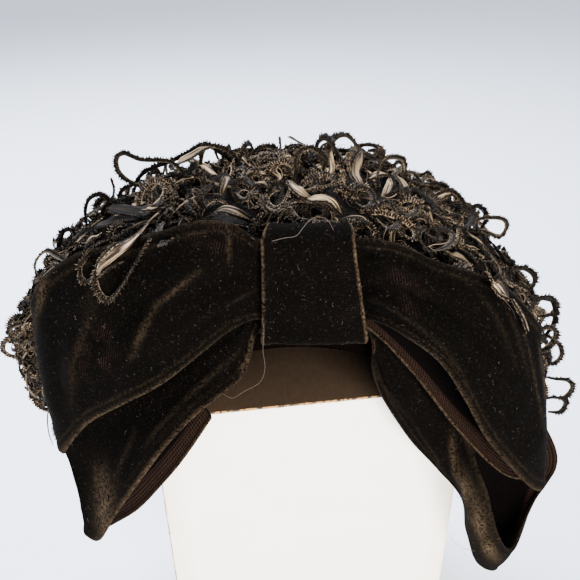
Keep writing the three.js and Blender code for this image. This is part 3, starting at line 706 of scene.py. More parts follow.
def knot_band():
    """The knot's band, closed on itself, with its grid's points a millimetre apart across it."""
    count, width = len(KNOT) * KNOT_ROW_STEPS, KNOT_ACROSS
    padded_rows = np.concatenate([KNOT[-2:], KNOT, KNOT[:3]])
    places = np.arange(count) / KNOT_ROW_STEPS
    sections = np.array([smooth_row(padded_rows, place + 2) for place in places])
    across = np.linspace(0, 1, width + 1)
    x = sections[:, 2:3] * (1 - across) + sections[:, 3:4] * across
    front = np.clip(1 - np.abs(places - 2.1) / 2.9, 0, 1)[:, None] ** 0.5
    share = across[None, :]
    out = KNOT_BULGE * np.sin(math.pi * share) * front
    ripple = 0.35 * np.cos(2 * math.pi * (share * 2.5 + 0.15))
    out = out + front * (ripple - 0.5 * np.exp(-((share - 0.33) / 0.05) ** 2))
    grid = np.stack([x, sections[:, :1] - out, sections[:, 1:2] + 0 * x], axis=2)
    grid[:, :, 0] += 0.35 * np.sin(places / 1.3)[:, None]
    edge = np.minimum(share, 1 - share) * KNOT_ACROSS
    run = np.concatenate([[0], np.cumsum(np.linalg.norm(np.diff(grid[:, width // 2], axis=0), axis=1))])
    u, v = np.meshgrid(run, across * KNOT_ACROSS, indexing="ij")
    # Both edges and a line along the lower front edge are painted lighter: partly worn pile, partly painted
    # glint.
    wear_and_glint = 0.7 * np.clip(1 - edge / 0.9, 0, 1) * (0.7 + 0.6 * wavy(grid, 4, 9)) + 0 * u
    wear_and_glint = np.maximum(wear_and_glint, 0.3 * np.exp(-((places[:, None] - 4.3) / 0.2) ** 2) * (0.6 + wavy(grid, 5, 4)))
    normals = grid_normals(grid, 1, True)
    grid = grid + normals * (0.25 * wavy(grid, 7, 12) + 0.5 / (1 + np.exp((edge - 2.6) / 0.3)))[:, :, None]
    crush_and_glint = np.clip(1.3 - ((share - 0.85) / 0.12) ** 2, 0, 1) * front * 0.4
    marks = {"wear_and_glint": np.clip(wear_and_glint, 0, 1), "crush_and_glint": crush_and_glint}
    made = cloth_piece("bow_knot_velvet", grid, grid_normals(grid, 1, True), KNOT_WALL, True,
                       np.stack([u, v], axis=2), marks, [velvet, mesh_backing])
    on_root(made, "velvet", "bow_knot")
    return made


bow.append(knot_band())


# The crown's foundation: a stiff shell of blocked buckram, sewn from a top and four side panels
# that meet in flat seams, with a grosgrain tape folded over its rim. It is a bent oval dome,
# open towards the head, and the tape rests on the carton's side edges.
CROWN_WALL = 1.8
CROWN_SHIFT_X = -2.0
RIM_RADIUS = 88.5
ARCH_HEIGHT = 129.093
ARCH_HALF_ANGLE = math.radians(86)
ARCH_TILT = math.radians(2.5)
CROWN_HALF_DEPTH = 58.0
CROWN_RISE = 48.0
CROWN_POWER = 2 / 2.6
CROWN_AROUND = 36
CROWN_UP = 8
TOP_PANEL_STARTS = 5
PANEL_SEAMS = (-3, 4, 14, 22)


def signed_power(values, power):
    return np.sign(values) * np.abs(values) ** power


def crown_points(step, level, lift=0.0):
    """Points on the crown and the ways they face. A step goes round from the viewer's right to the
    back, a level goes up from the rim to the top, and lift moves a point off the outer face."""
    step, level, lift = np.broadcast_arrays(np.asarray(step, float), level, lift)
    around = step / CROWN_AROUND * 2 * math.pi
    up = np.minimum(level / CROWN_UP, 1) * math.pi / 2
    spread = signed_power(np.cos(up), CROWN_POWER)
    arch = ARCH_TILT + ARCH_HALF_ANGLE * spread * signed_power(np.cos(around), CROWN_POWER)
    radius = RIM_RADIUS + CROWN_RISE * signed_power(np.sin(up), CROWN_POWER)
    sharp = 2 - CROWN_POWER
    flatness = signed_power(np.cos(up), sharp)
    normal = np.stack([
        flatness * signed_power(np.cos(around), sharp) / (ARCH_HALF_ANGLE * radius),
        flatness * signed_power(np.sin(around), sharp) / CROWN_HALF_DEPTH,
        signed_power(np.sin(up), sharp) / CROWN_RISE,
    ], axis=-1)
    normal /= np.linalg.norm(normal, axis=-1, keepdims=True)
    flat = np.zeros_like(arch)
    outwards = np.stack([np.sin(arch), flat, np.cos(arch)], axis=-1)
    tangent = np.stack([np.cos(arch), flat, -np.sin(arch)], axis=-1)
    direction = tangent * normal[..., :1] + outwards * normal[..., 2:]
    direction[..., 1] = normal[..., 1]
    place = outwards * radius[..., None] + [CROWN_SHIFT_X, 0.0, ARCH_HEIGHT]
    place[..., 1] = CROWN_HALF_DEPTH * spread * signed_power(np.sin(around), CROWN_POWER)
    return place + direction * lift[..., None], direction


def ring_shell(name, rings, materials, looped=False):
    """A closed solid from rings that run from one end or pole to the other, or round to the first."""
    count, width = rings.shape[:2]
    faces = []
    for i in range(count if looped else count - 1):
        after = (i + 1) % count
        for j in range(width):
            k = (j + 1) % width
            faces.append((i * width + j, i * width + k, after * width + k, after * width + j))
    if not looped:
        faces += [tuple(range(width)), tuple(range((count - 1) * width, count * width))]
    made = mesh_piece(name, rings.reshape(-1, 3), faces, materials)
    face_outwards(made)
    return made


# Buckram: coarse plain cotton stiffened with starch size and dyed black. Its threads stand a
# millimetre apart, and the size gives it a weak sheen.
BUCKRAM_PITCH = 0.0012
buckram, tree, shader = start_material("sized_cotton_buckram", {"Roughness": 0.9, "Specular IOR Level": 0.02})
where = add(tree, "ShaderNodeTexCoord").outputs["Object"]
split = add(tree, "ShaderNodeSeparateXYZ", {"Vector": where})
weave = []
for axis in ("X", "Y", "Z"):
    turns = add(tree, "ShaderNodeMath", {0: split.outputs[axis], 1: 2 * math.pi / BUCKRAM_PITCH},
                operation="MULTIPLY")
    weave.append(add(tree, "ShaderNodeMath", {0: turns}, operation="SINE"))
pair = add(tree, "ShaderNodeMath", {0: weave[0], 1: weave[1]}, operation="MAXIMUM")
woven = add(tree, "ShaderNodeMath", {0: pair, 1: weave[2]}, operation="MAXIMUM")
thread = add(tree, "ShaderNodeMapRange", {"Value": woven, 1: 0.2, 2: 0.95})
size = add(tree, "ShaderNodeTexNoise", {"Vector": where, "Scale": 60.0, "Detail": 4.0})
sized = add(tree, "ShaderNodeMix", {0: size, 6: "#0a0706", 7: "#130e0b"}, data_type="RGBA")
relief = add(tree, "ShaderNodeBump", {"Height": thread, "Strength": 0.4, "Distance": 0.0005})
colour = add(tree, "ShaderNodeMix", {0: thread, 6: "#020101", 7: sized}, data_type="RGBA")
connect(tree, shader, {"Base Color": colour, "Normal": relief})


def seam_share(step, level):
    """How near a place is to a seam between the panels, from 0 to 1."""
    half = CROWN_AROUND / 2
    gap = np.min([np.abs((step - seam + half) % CROWN_AROUND - half) for seam in PANEL_SEAMS], axis=0)
    upright = np.where(level < TOP_PANEL_STARTS, np.exp(-(gap / 0.16) ** 2), 0)
    return np.maximum(upright, np.exp(-((level - TOP_PANEL_STARTS) / 0.09) ** 2))


levels, steps = np.meshgrid(
    np.arange(0, CROWN_UP + 0.01, 0.25), np.arange(0, CROWN_AROUND, 0.25), indexing="ij")
outside = crown_points(steps, levels)[0]
inside = crown_points(steps, levels, -CROWN_WALL - 0.5 * seam_share(steps, levels))[0]
foundation = ring_shell("crown_buckram_shell", np.concatenate([outside[::-1], inside]), [buckram])
on_root(foundation, "foundation", "crown_front", "crown_back", "crown_left", "crown_right", "crown_top")

# Grosgrain: a ribbed tape of rayon, with its ribs under a millimetre apart, dull with age.
TAPE_PITCH = 0.0009
grosgrain, tree, shader = start_material(
    "rayon_grosgrain_tape", {"Roughness": 0.95, "Specular IOR Level": 0.0})
tape = add(tree, "ShaderNodeUVMap", uv_map="cloth")
split = add(tree, "ShaderNodeSeparateXYZ", {"Vector": tape})
turns = add(tree, "ShaderNodeMath", {0: split.outputs["X"], 1: 2 * math.pi / TAPE_PITCH},
            operation="MULTIPLY")
rib = add(tree, "ShaderNodeMath", {0: turns}, operation="SINE")
relief = add(tree, "ShaderNodeBump", {"Height": rib, "Strength": 0.35, "Distance": 0.0003})
colour = add(tree, "ShaderNodeMix", {0: rib, 6: "#020101", 7: "#070504"}, data_type="RGBA")
connect(tree, shader, {"Base Color": colour, "Normal": relief})

# Each pair is a corner of the tape's section: the level up the crown, and the lift off it.
TAPE_SECTION = np.array([
    (0.45, 0.03), (0.45, 0.4), (0.2, 0.5), (0.02, 0.45), (0.0, 0.1), (0.0, -0.9), (0.0, -1.9),
    (0.02, -2.3), (0.2, -2.4), (0.45, -2.3), (0.45, -1.83), (0.01, -1.82), (0.01, 0.02),
])
TAPE_FOLD_DROP = 0.45
steps = np.arange(0, CROWN_AROUND, 0.15)[:, None]
tape_rings = crown_points(steps, TAPE_SECTION[None, :, 0], TAPE_SECTION[None, :, 1])[0]
downwards = crown_points(steps, 0.0)[0] - crown_points(steps, 0.1)[0]
downwards /= np.linalg.norm(downwards, axis=2, keepdims=True)
tape_rings[:, 4:7] += downwards * TAPE_FOLD_DROP
binding = ring_shell("crown_rim_tape", tape_rings, [grosgrain], looped=True)
lay_flat(binding.data, "cloth", [
    (RIM_RADIUS * 0.001 * math.atan2(point.co.x, point.co.z - 0.129) + point.co.y, point.co.z)
    for point in binding.data.vertices
])
on_root(binding, "foundation")


# The feathers' ground: a mat of short tangled barbs, knotted and sewn to the crown in four side
# fields and one on top. It is thickest on the viewer's left and thin under the bow.
PAD_CLEARANCE = 0.6
PAD_THICKNESS = 8.0
PAD_LEFT_EXTRA = 17.0
PAD_FRONT_LESS = 3.0
PAD_LUMP = 2.8
PAD_EDGE_FULLNESS = 0.35
PAD_FULLNESS_GROWTH = 1.2
FIELD_INSET = 0.04
MAT_ROUGHNESS = 1.3
FIELDS = {
    "feathers_right": (-3, 4, 0.15),
    "feathers_back": (4, 14, 0.15),
    "feathers_left": (14, 22, 0.15),
    "feathers_front": (22, 33, 3.0),
}


def pad_lift(step, level):
    """How far the mat's face lies off the crown."""
    around = step / CROWN_AROUND * 2 * math.pi
    up = np.minimum(level / CROWN_UP, 1) * math.pi / 2
    place = crown_points(step, level)[0]
    x, y = place[..., 0], place[..., 1]
    lumps = np.sin(x / 7 + 1.5 * np.sin(y / 9)) * np.cos(y / 8 + 1.5 * np.sin(x / 11))
    fullness = np.minimum(1, PAD_EDGE_FULLNESS + up * PAD_FULLNESS_GROWTH)
    leftward = (np.maximum(0, -np.cos(around)) * np.sin(2 * up)) ** 2
    frontward = np.maximum(0, -np.sin(around)) * np.cos(up)
    extra = PAD_LEFT_EXTRA * leftward - PAD_FRONT_LESS * frontward
    return PAD_CLEARANCE + (PAD_THICKNESS + extra + PAD_LUMP * lumps) * fullness


# Matted barbs of dyed feather: keratin, nearly black, browner where a barb's end catches light.
barb_mat, tree, shader = start_material(
    "matted_feather_barbs", {"Roughness": 0.85, "Specular IOR Level": 0.08})
where = add(tree, "ShaderNodeTexCoord").outputs["Object"]
tangle = add(tree, "ShaderNodeTexNoise", {"Vector": where, "Scale": 420.0, "Detail": 6.0,
                                           "Distortion": 2.5})
fibres = add(tree, "ShaderNodeMapRange", {"Value": tangle, 1: 0.48, 2: 0.72})
dark = add(tree, "ShaderNodeMix", {0: fibres, 6: "#020101", 7: "#1a130f"}, data_type="RGBA")
relief = add(tree, "ShaderNodeBump", {"Height": tangle, "Strength": 1.0, "Distance": 0.002})
connect(tree, shader, {"Base Color": dark, "Normal": relief})


def mat_piece(name, steps, levels, wraps):
    """A field's mat: its uneven outer face, and its inner face just off the crown."""
    level, step = np.meshgrid(levels, steps, indexing="ij")
    outer, facing = crown_points(step, level, pad_lift(step, level))
    inner = crown_points(step, level, PAD_CLEARANCE)[0]
    tangled = MAT_ROUGHNESS * (wavy(outer, 5, 31) + 0.6 * wavy(outer, 2.2, 32)) - 0.8
    outer = outer + facing * tangled[..., None]
    if wraps:
        return ring_shell(name, np.concatenate([inner[::-1], outer]), [barb_mat])
    rings = np.concatenate([outer, inner[:, ::-1]], axis=1)
    return ring_shell(name, rings, [barb_mat])


for name, (first, last, lowest) in FIELDS.items():
    steps = np.linspace(first + FIELD_INSET, last - FIELD_INSET, (last - first) * 8)
    rows = int((TOP_PANEL_STARTS - lowest) * 9)
    made = mat_piece(name + "_mat", steps, np.linspace(lowest, TOP_PANEL_STARTS - FIELD_INSET, rows), False)
    on_root(made, "feather", name)
made = mat_piece("feathers_top_mat", np.arange(0, CROWN_AROUND, 0.125),
                 np.linspace(TOP_PANEL_STARTS + FIELD_INSET, CROWN_UP, 26), True)
on_root(made, "feather", "feathers_top")


# The feathers: each is one narrow plume, trimmed until only a comb of short barbs is left along
# the outer side of its rib, then curled into a loop, a ringlet or an S and sewn to the ground.
LOOPS_APART = 6.0
BARB_SPACING = 0.82
SINGLE_BARB_SPACING = 0.5
BARB_LENGTH = 2.5
BARB_WIDTH = 1.35
RIB_RADIUS = 0.36
CORE_RADIUS = 0.5
CORE_REACH = 1.1
CORE_FLATNESS = 1.3
HIGHEST_LOOP = 8.0
LOWER_ON_RIGHT = 5.0
LOWER_WHERE_TRIM = 4.5
HIGHER_BEHIND = 13.0
BEHIND_APART = 19.0
OVERHANG_SHARE = 0.85
BARE_SHARE = 0.2
KEEP_OFF_BOW = 2.4
FOOT_TRIES = 24000
LOOP_TRIES = 10
TEARDROP = np.array([
    (-0.05, -0.35), (0.35, -0.7), (0.68, -1), (0.92, -0.72), (1, 0),
    (0.92, 0.72), (0.68, 1), (0.35, 0.7), (-0.05, 0.35),
])
# The loops that show singly on this hat, point by point: first those that stand clear of the
# rest, then those that lie among it.
SINGLE_LOOPS = [
    [(-53, 1, 273), (-58, -4, 281), (-71, -4, 282), (-78, -4, 285), (-81, -4, 283), (-81, -4, 278),
     (-78, -4, 274), (-73, 1, 268)],
    [(-82, 21, 261), (-73, 16, 270), (-62, 16, 274), (-53, 16, 278), (-45, 16, 282), (-40, 16, 280),
     (-32, 21, 272)],
    [(-47, 19, 272), (-44, 14, 281), (-40, 14, 282), (-34, 14, 280), (-31, 14, 276), (-36, 14, 272),
     (-43, 19, 273)],
    [(-30, 13, 270), (-27, 10, 278), (-25, 20, 280), (-23, 30, 277), (-21, 25, 272), (-19, 15, 269)],
    [(-20, 15, 270), (-19, 23, 275), (-16, 35, 273), (-12, 30, 273), (-12, 5, 278), (-17, -15, 282)],
    [(-11, 14, 271), (-7, 17, 274), (-3, 7, 275), (2, -4, 276)],
    [(-88, -1, 262), (-85, -5, 269), (-87, 0, 272)],
    [(-97, -14, 256), (-96, -15, 262), (-95, -11, 266), (-92, -5, 266), (-90, 0, 261), (-92, 9, 251)],
    [(-117, 11, 227), (-118, 6, 235), (-116, 6, 242), (-112, 5, 244), (-111, 5, 241), (-110, 9, 234)],
    [(-122, 11, 224), (-121, 6, 233), (-118, 6, 235), (-116, 11, 228)],
    [(-96, -50, 255), (-108, -31, 248), (-116, -20, 245), (-120, -21, 242), (-122, -21, 237),
     (-120, -22, 233), (-110, -33, 243), (-98, -51, 255)],
    [(-68, -17, 256), (-69, -34, 261), (-70, -59, 268), (-73, -72, 267), (-76, -74, 262),
     (-76, -75, 257), (-73, -77, 254), (-69, -77, 257), (-64, -77, 264), (-58, -75, 273),
     (-56, -70, 275)],
    [(-82, -30, 255), (-80, -58, 264), (-82, -70, 265), (-83, -71, 262), (-82, -72, 259),
     (-78, -73, 261), (-75, -68, 264)],
    [(-52, -12, 263), (-54, -22, 264), (-57, -39, 266), (-54, -64, 271), (-49, -76, 276),
     (-48, -64, 274), (-49, -34, 268)],
    [(-51, -4, 268), (-48, -11, 268), (-48, -19, 266), (-45, -25, 265), (-43, -21, 265)],
    [(-118, -32, 217), (-124, -36, 217), (-131, -36, 215), (-134, -36, 212), (-130, -36, 208),
     (-124, -36, 205), (-121, -32, 201)],
    [(-120, -30, 209), (-126, -34, 210), (-130, -34, 205), (-128, -34, 201), (-124, -30, 195)],
    [(-119, -34, 199), (-124, -38, 200), (-126, -38, 195), (-123, -38, 191), (-119, -34, 186)],
    [(-118, -40, 196), (-120, -44, 194), (-119, -44, 189), (-116, -40, 185)],
    [(0, -9, 275), (0, -15, 283), (1, -17, 289), (5, -18, 291), (10, -18, 287), (10, -12, 280)],
    [(12, 1, 275), (10, -14, 286), (8, -17, 292), (11, -9, 292), (15, 1, 286), (20, 14, 274)],
    [(13, -8, 270), (14, 0, 277), (15, 9, 282), (19, 13, 286), (24, 16, 285), (30, 20, 277),
     (32, 17, 273), (29, 12, 267)],
    [(35, -12, 276), (35, -18, 282), (39, -10, 283), (47, 1, 279), (50, 7, 272), (49, 13, 264)],
    [(55, 13, 254), (58, 8, 260), (61, 8, 263), (67, 8, 264), (74, 13, 259)],
    [(62, 9, 255), (66, 4, 260), (72, 4, 262), (77, 4, 258), (81, 8, 251)],
    [(78, 10, 245), (82, 6, 250), (87, 6, 253), (91, 6, 248), (91, 10, 240)],
    [(84, 2, 245), (87, -2, 250), (96, -2, 250), (99, -2, 247), (97, -2, 242), (89, -2, 245), (86, 2, 242)],
    [(89, -7, 243), (93, -11, 239), (97, -12, 234), (101, -12, 232), (100, -12, 228), (97, -9, 227)],
    [(97, -11, 225), (99, -15, 229), (107, -14, 229), (112, -14, 225), (112, -13, 220), (106, -13, 221),
     (101, -10, 221)],
    [(101, -42, 218), (100, -46, 225), (103, -46, 231), (107, -46, 232), (110, -46, 227),
     (111, -46, 220), (111, -42, 211)],
    [(116, -22, 196), (120, -26, 198), (126, -26, 193), (128, -26, 187), (125, -26, 183), (122, -22, 182)],
    [(129, -12, 163), (134, -16, 164), (140, -16, 163), (143, -16, 159), (140, -16, 153), (136, -12, 150)],
    [(131, -16, 151), (134, -20, 155), (139, -20, 153), (138, -20, 147), (134, -16, 143)],
    [(107, -26, 221), (111, -30, 222), (117, -30, 220), (117, -30, 215), (113, -26, 211)],
    [(105, -44, 204), (105, -48, 214), (109, -48, 218), (112, -48, 215), (110, -48, 209), (108, -44, 203)],
    [(-58, 4, 267), (-57, -7, 269), (-57, -20, 267), (-60, -28, 265), (-62, -27, 261)],
    [(-52, -19, 265), (-56, -27, 266), (-58, -33, 264), (-56, -47, 268), (-50, -75, 276)],
    [(-55, 0, 268), (-49, -13, 269), (-47, -22, 268), (-44, -29, 266)],
    [(-67, 16, 266), (-71, 9, 266), (-71, 5, 264), (-66, -1, 264), (-65, 3, 266), (-69, 17, 263)],
    [(-35, -4, 274), (-40, -15, 272), (-42, -22, 271), (-40, -26, 268)],
    [(-76, -74, 261), (-70, -79, 267), (-67, -74, 267)],
    [(-63, 6, 270), (-59, 0, 273), (-53, 0, 273), (-49, 4, 268)],
    [(-30, -10, 272), (-26, -15, 275), (-22, -17, 274), (-21, -22, 273), (-24, -25, 272),
     (-28, -16, 271)],
    [(-16, -24, 273), (-14, -36, 273), (-11, -39, 272), (-8, -38, 273), (-7, -30, 273)],
    [(-76, 6, 261), (-71, 2, 266), (-67, 0, 266), (-64, -8, 265), (-65, -17, 266), (-72, -2, 261)],
    [(-86, 7, 261), (-81, 2, 267), (-76, 2, 268), (-74, 7, 263)],
    [(55, -45, 254), (50, -49, 260), (49, -46, 262), (51, -40, 262), (56, -30, 259)],
    [(63, -20, 255), (65, -27, 255), (65, -32, 255), (60, -42, 256), (54, -44, 255)],
    [(63, -37, 251), (66, -40, 253), (70, -40, 251), (76, -38, 245)],
    [(43, -24, 268), (45, -23, 270), (49, -22, 269), (49, -28, 267), (45, -33, 267), (43, -28, 267)],
    [(23, -24, 272), (25, -25, 275), (29, -25, 274), (30, -29, 272), (27, -34, 271), (24, -27, 270)],
    [(75, 5, 250), (76, -3, 256), (79, -7, 255), (78, -13, 254), (74, -18, 254), (71, -13, 253)],
    [(79, -32, 245), (87, -20, 240), (92, -16, 235), (92, -24, 234), (86, -35, 237)],
    [(32, -34, 269), (35, -35, 272), (39, -35, 270), (40, -39, 267), (36, -44, 266), (33, -38, 266)],
]

# The untrimmed vanes that show singly: each one's paleness, a painted highlight for the light it
# catches, then points with the width there.
SINGLE_VANES = [
    (1, [(-65, -30, 263, 0.7), (-62, -58, 272, 3.6), (-62, -74, 276, 5), (-65, -79, 275, 5),
     (-69, -80, 272, 4.2), (-73, -79, 268, 3), (-75, -77, 263, 1.6)]),
    (1, [(-54, 28, 273, 2), (-50, 21, 273, 3.4), (-45, 19, 271, 3.6), (-40, 11, 270, 2.2),
         (-35, -5, 273, 1)]),
    (0.7, [(-59, 7, 275, 1.5), (-55, 1, 280, 4), (-49, 1, 283, 4.6), (-44, 1, 286, 3), (-40, 7, 285, 1.2)]),
    (0.7, [(-89, 15, 252, 1), (-82, 6, 256, 3), (-75, 0, 260, 3.2), (-71, 3, 260, 1.5)]),
    (1, [(-75, -8, 261, 1), (-69, -17, 265, 2.8), (-65, -19, 266, 3), (-62, -14, 264, 1.2)]),
    (1, [(-99, -15, 247, 1), (-95, -18, 251, 3.6), (-92, -14, 251, 4.4), (-91, -5, 250, 1.5)]),
    (0.7, [(-112, 1, 238, 1), (-108, -4, 242, 3.2), (-105, -3, 244, 3.8), (-102, 5, 245, 1.5)]),
    (1, [(-51, -5, 267, 1), (-48, -13, 269, 2.8), (-46, -16, 270, 3), (-44, -17, 267, 1.2)]),
    (0, [(-88, -6, 261, 1.5), (-82, -12, 263, 5), (-74, -15, 263, 5.6), (-67, -20, 265, 5),
     (-62, -12, 264, 2)]),
    (0.03, [(-98, 3, 248, 1.5), (-90, -7, 254, 4), (-83, -13, 258, 4.6), (-74, -15, 259, 2)]),
    (0.55, [(-33, -3, 274, 1), (-32, -12, 276, 3.2), (-33, -17, 274, 3.4), (-34, -18, 270, 1.4)]),
    (0.35, [(-37, -28, 267, 1), (-32, -33, 271, 3.4), (-26, -37, 271, 3.6), (-20, -36, 267, 1.6)]),
    (1, [(2, -28, 273, 1), (5, -33, 275, 3), (11, -33, 275, 3.6), (15, -35, 273, 3.4), (18, -34, 268, 1.4)]),
    (0.85, [(-4, -15, 276, 1), (-2, -27, 278, 3.4), (1, -31, 277, 4.2), (6, -28, 272, 2)]),
    (1, [(16, 15, 283, 1), (15, 7, 281, 2.4), (15, 2, 277, 4.4), (14, -7, 277, 4.8), (13, -14, 275, 2)]),
    (0.45, [(30, 9, 281, 1), (28, 1, 280, 4), (26, -5, 276, 4.6), (27, -15, 275, 3.4), (29, -17, 272, 1)]),
    (1, [(62, 1, 260, 1), (65, 5, 259, 3.6), (70, 10, 259, 4.4), (75, 10, 260, 3), (80, 15, 256, 1.2)]),
    (0.95, [(36, -19, 269, 1), (38, -16, 270, 3), (41, -7, 271, 3.2), (43, 5, 269, 1.2)]),
    (0.8, [(32, 0, 270, 1), (33, -3, 273, 2.6), (38, 7, 271, 3), (44, 13, 268, 1.4)]),
    (0.95, [(79, -46, 244, 1), (72, -74, 257, 3.6), (75, -73, 254, 4.2), (81, -68, 247, 1.5)]),
    (0.5, [(62, -37, 252, 1), (64, -43, 253, 3.8), (68, -43, 251, 4.4), (74, -39, 245, 1.6)]),
    (0.95, [(8, 39, 261, 1), (8, 0, 276, 3.4), (11, 1, 277, 4), (14, 2, 275, 1.5)]),
    (0.6, [(47, 8, 269, 1), (48, 0, 270, 3.2), (49, -8, 269, 3.4), (47, -15, 268, 1.5)]),
    (0.6, [(77, -14, 250, 1), (81, -12, 246, 3.2), (86, -11, 242, 3.6), (91, -7, 235, 1.4)]),
    (0.7, [(84, -66, 244, 0.5), (85, -71, 243, 0.9), (88, -71, 238, 0.9), (92, -67, 230, 0.5)]),
]
KEEP_OFF_SINGLE = 3.0

# Trimmed plume: dyed keratin with a silky lustre. The rib is horn, dyed thinly, so it is paler
# and glossier than the barbs, whose cut ends have faded to brown. The pale tan of the barb ends on
# the paler strands is partly painted highlight, for light falling on them from above.
COMB_PITCH = 0.0012
plume, tree, shader = start_material("trimmed_plume", {"Roughness": 0.6, "Specular IOR Level": 0.07})
tip = add(tree, "ShaderNodeAttribute", attribute_name="tip").outputs["Fac"]
tone = add(tree, "ShaderNodeAttribute", attribute_name="tone").outputs["Fac"]
rib_colour = add(tree, "ShaderNodeMix", {0: tone, 6: "#1a130f", 7: "#9c8b72"}, data_type="RGBA")
root_colour = add(tree, "ShaderNodeMix", {0: tone, 6: "#050403", 7: "#1c140e"}, data_type="RGBA")
# Barb ends: brown, and on paler strands a tan that is partly painted highlight.
end_colour = add(tree, "ShaderNodeMix", {0: tone, 6: "#1c1510", 7: "#a28d73"}, data_type="RGBA")
along_barb = add(tree, "ShaderNodeMapRange", {"Value": tip, 1: 0.4, 2: 1.0})
along = add(tree, "ShaderNodeAttribute", attribute_name="along").outputs["Fac"]
combed = add(tree, "ShaderNodeMath", {0: along, 1: 2 * math.pi / COMB_PITCH}, operation="MULTIPLY")
comb_wave = add(tree, "ShaderNodeMath", {0: combed}, operation="SINE")
barb_line = add(tree, "ShaderNodeMapRange", {"Value": comb_wave, 1: 0.0, 2: 0.9, 3: 0.0, 4: 0.75})
paled = add(tree, "ShaderNodeMath", {0: along_barb, 1: barb_line}, operation="MAXIMUM")
barb_colour = add(tree, "ShaderNodeMix", {0: paled, 6: root_colour, 7: end_colour}, data_type="RGBA")
where = add(tree, "ShaderNodeTexCoord").outputs["Object"]
uneven = add(tree, "ShaderNodeTexNoise", {"Vector": where, "Scale": 850.0, "Detail": 2.0})
patch = add(tree, "ShaderNodeMapRange", {"Value": uneven, 1: 0.38, 2: 0.56, 3: 0.1, 4: 1.0})
is_rib = add(tree, "ShaderNodeMath", {0: tip, 1: 0.0}, operation="LESS_THAN")
dyed = add(tree, "ShaderNodeMix", {0: is_rib, 6: barb_colour, 7: rib_colour}, data_type="RGBA")
relief = add(tree, "ShaderNodeBump", {"Height": uneven, "Strength": 1.0, "Distance": 0.0012})
colour = add(tree, "ShaderNodeMix", {0: patch, 6: "#040302", 7: dyed}, data_type="RGBA")
connect(tree, shader, {"Base Color": colour, "Normal": relief})


def start_group(name, sockets):
    """A geometry tree that takes edge paths: the tree, its named inputs, and the paths as smooth
    curves."""
    tree = bpy.data.node_groups.new(name, "GeometryNodeTree")
    face = tree.interface
    face.new_socket("Geometry", in_out="INPUT", socket_type="NodeSocketGeometry")
    for title, kind in sockets.items():
        face.new_socket(title, in_out="INPUT", socket_type="NodeSocket" + kind)
    face.new_socket("Geometry", in_out="OUTPUT", socket_type="NodeSocketGeometry")
    given = add(tree, "NodeGroupInput").outputs
    paths = add(tree, "GeometryNodeMeshToCurve", {"Mesh": given["Geometry"]})
    smooth = add(tree, "GeometryNodeCurveSplineType", {"Curve": paths}, spline_type="CATMULL_ROM")
    return tree, given, smooth


def skin(tree, curve, radius, sides):
    """The skin round a curve, with closed ends, at the radius given for its points."""
    sized = add(tree, "GeometryNodeSetCurveRadius", {"Curve": curve, "Radius": radius})
    section = add(tree, "GeometryNodeCurvePrimitiveCircle", {"Resolution": sides, "Radius": 1.0})
    inputs = {"Curve": sized, "Profile Curve": section, "Fill Caps": True}
    made = add(tree, "GeometryNodeCurveToMesh", inputs)
    if "Scale" in made.inputs:
        connect(tree, made, {"Scale": radius})
    return made


def end_group(tree, geometry, material):
    """Ends a geometry tree: its instances are made real and get their material."""
    real = add(tree, "GeometryNodeRealizeInstances", {"Geometry": geometry})
    finish = add(tree, "GeometryNodeSetMaterial", {"Geometry": real, "Material": material})
    add(tree, "NodeGroupOutput", {"Geometry": finish})


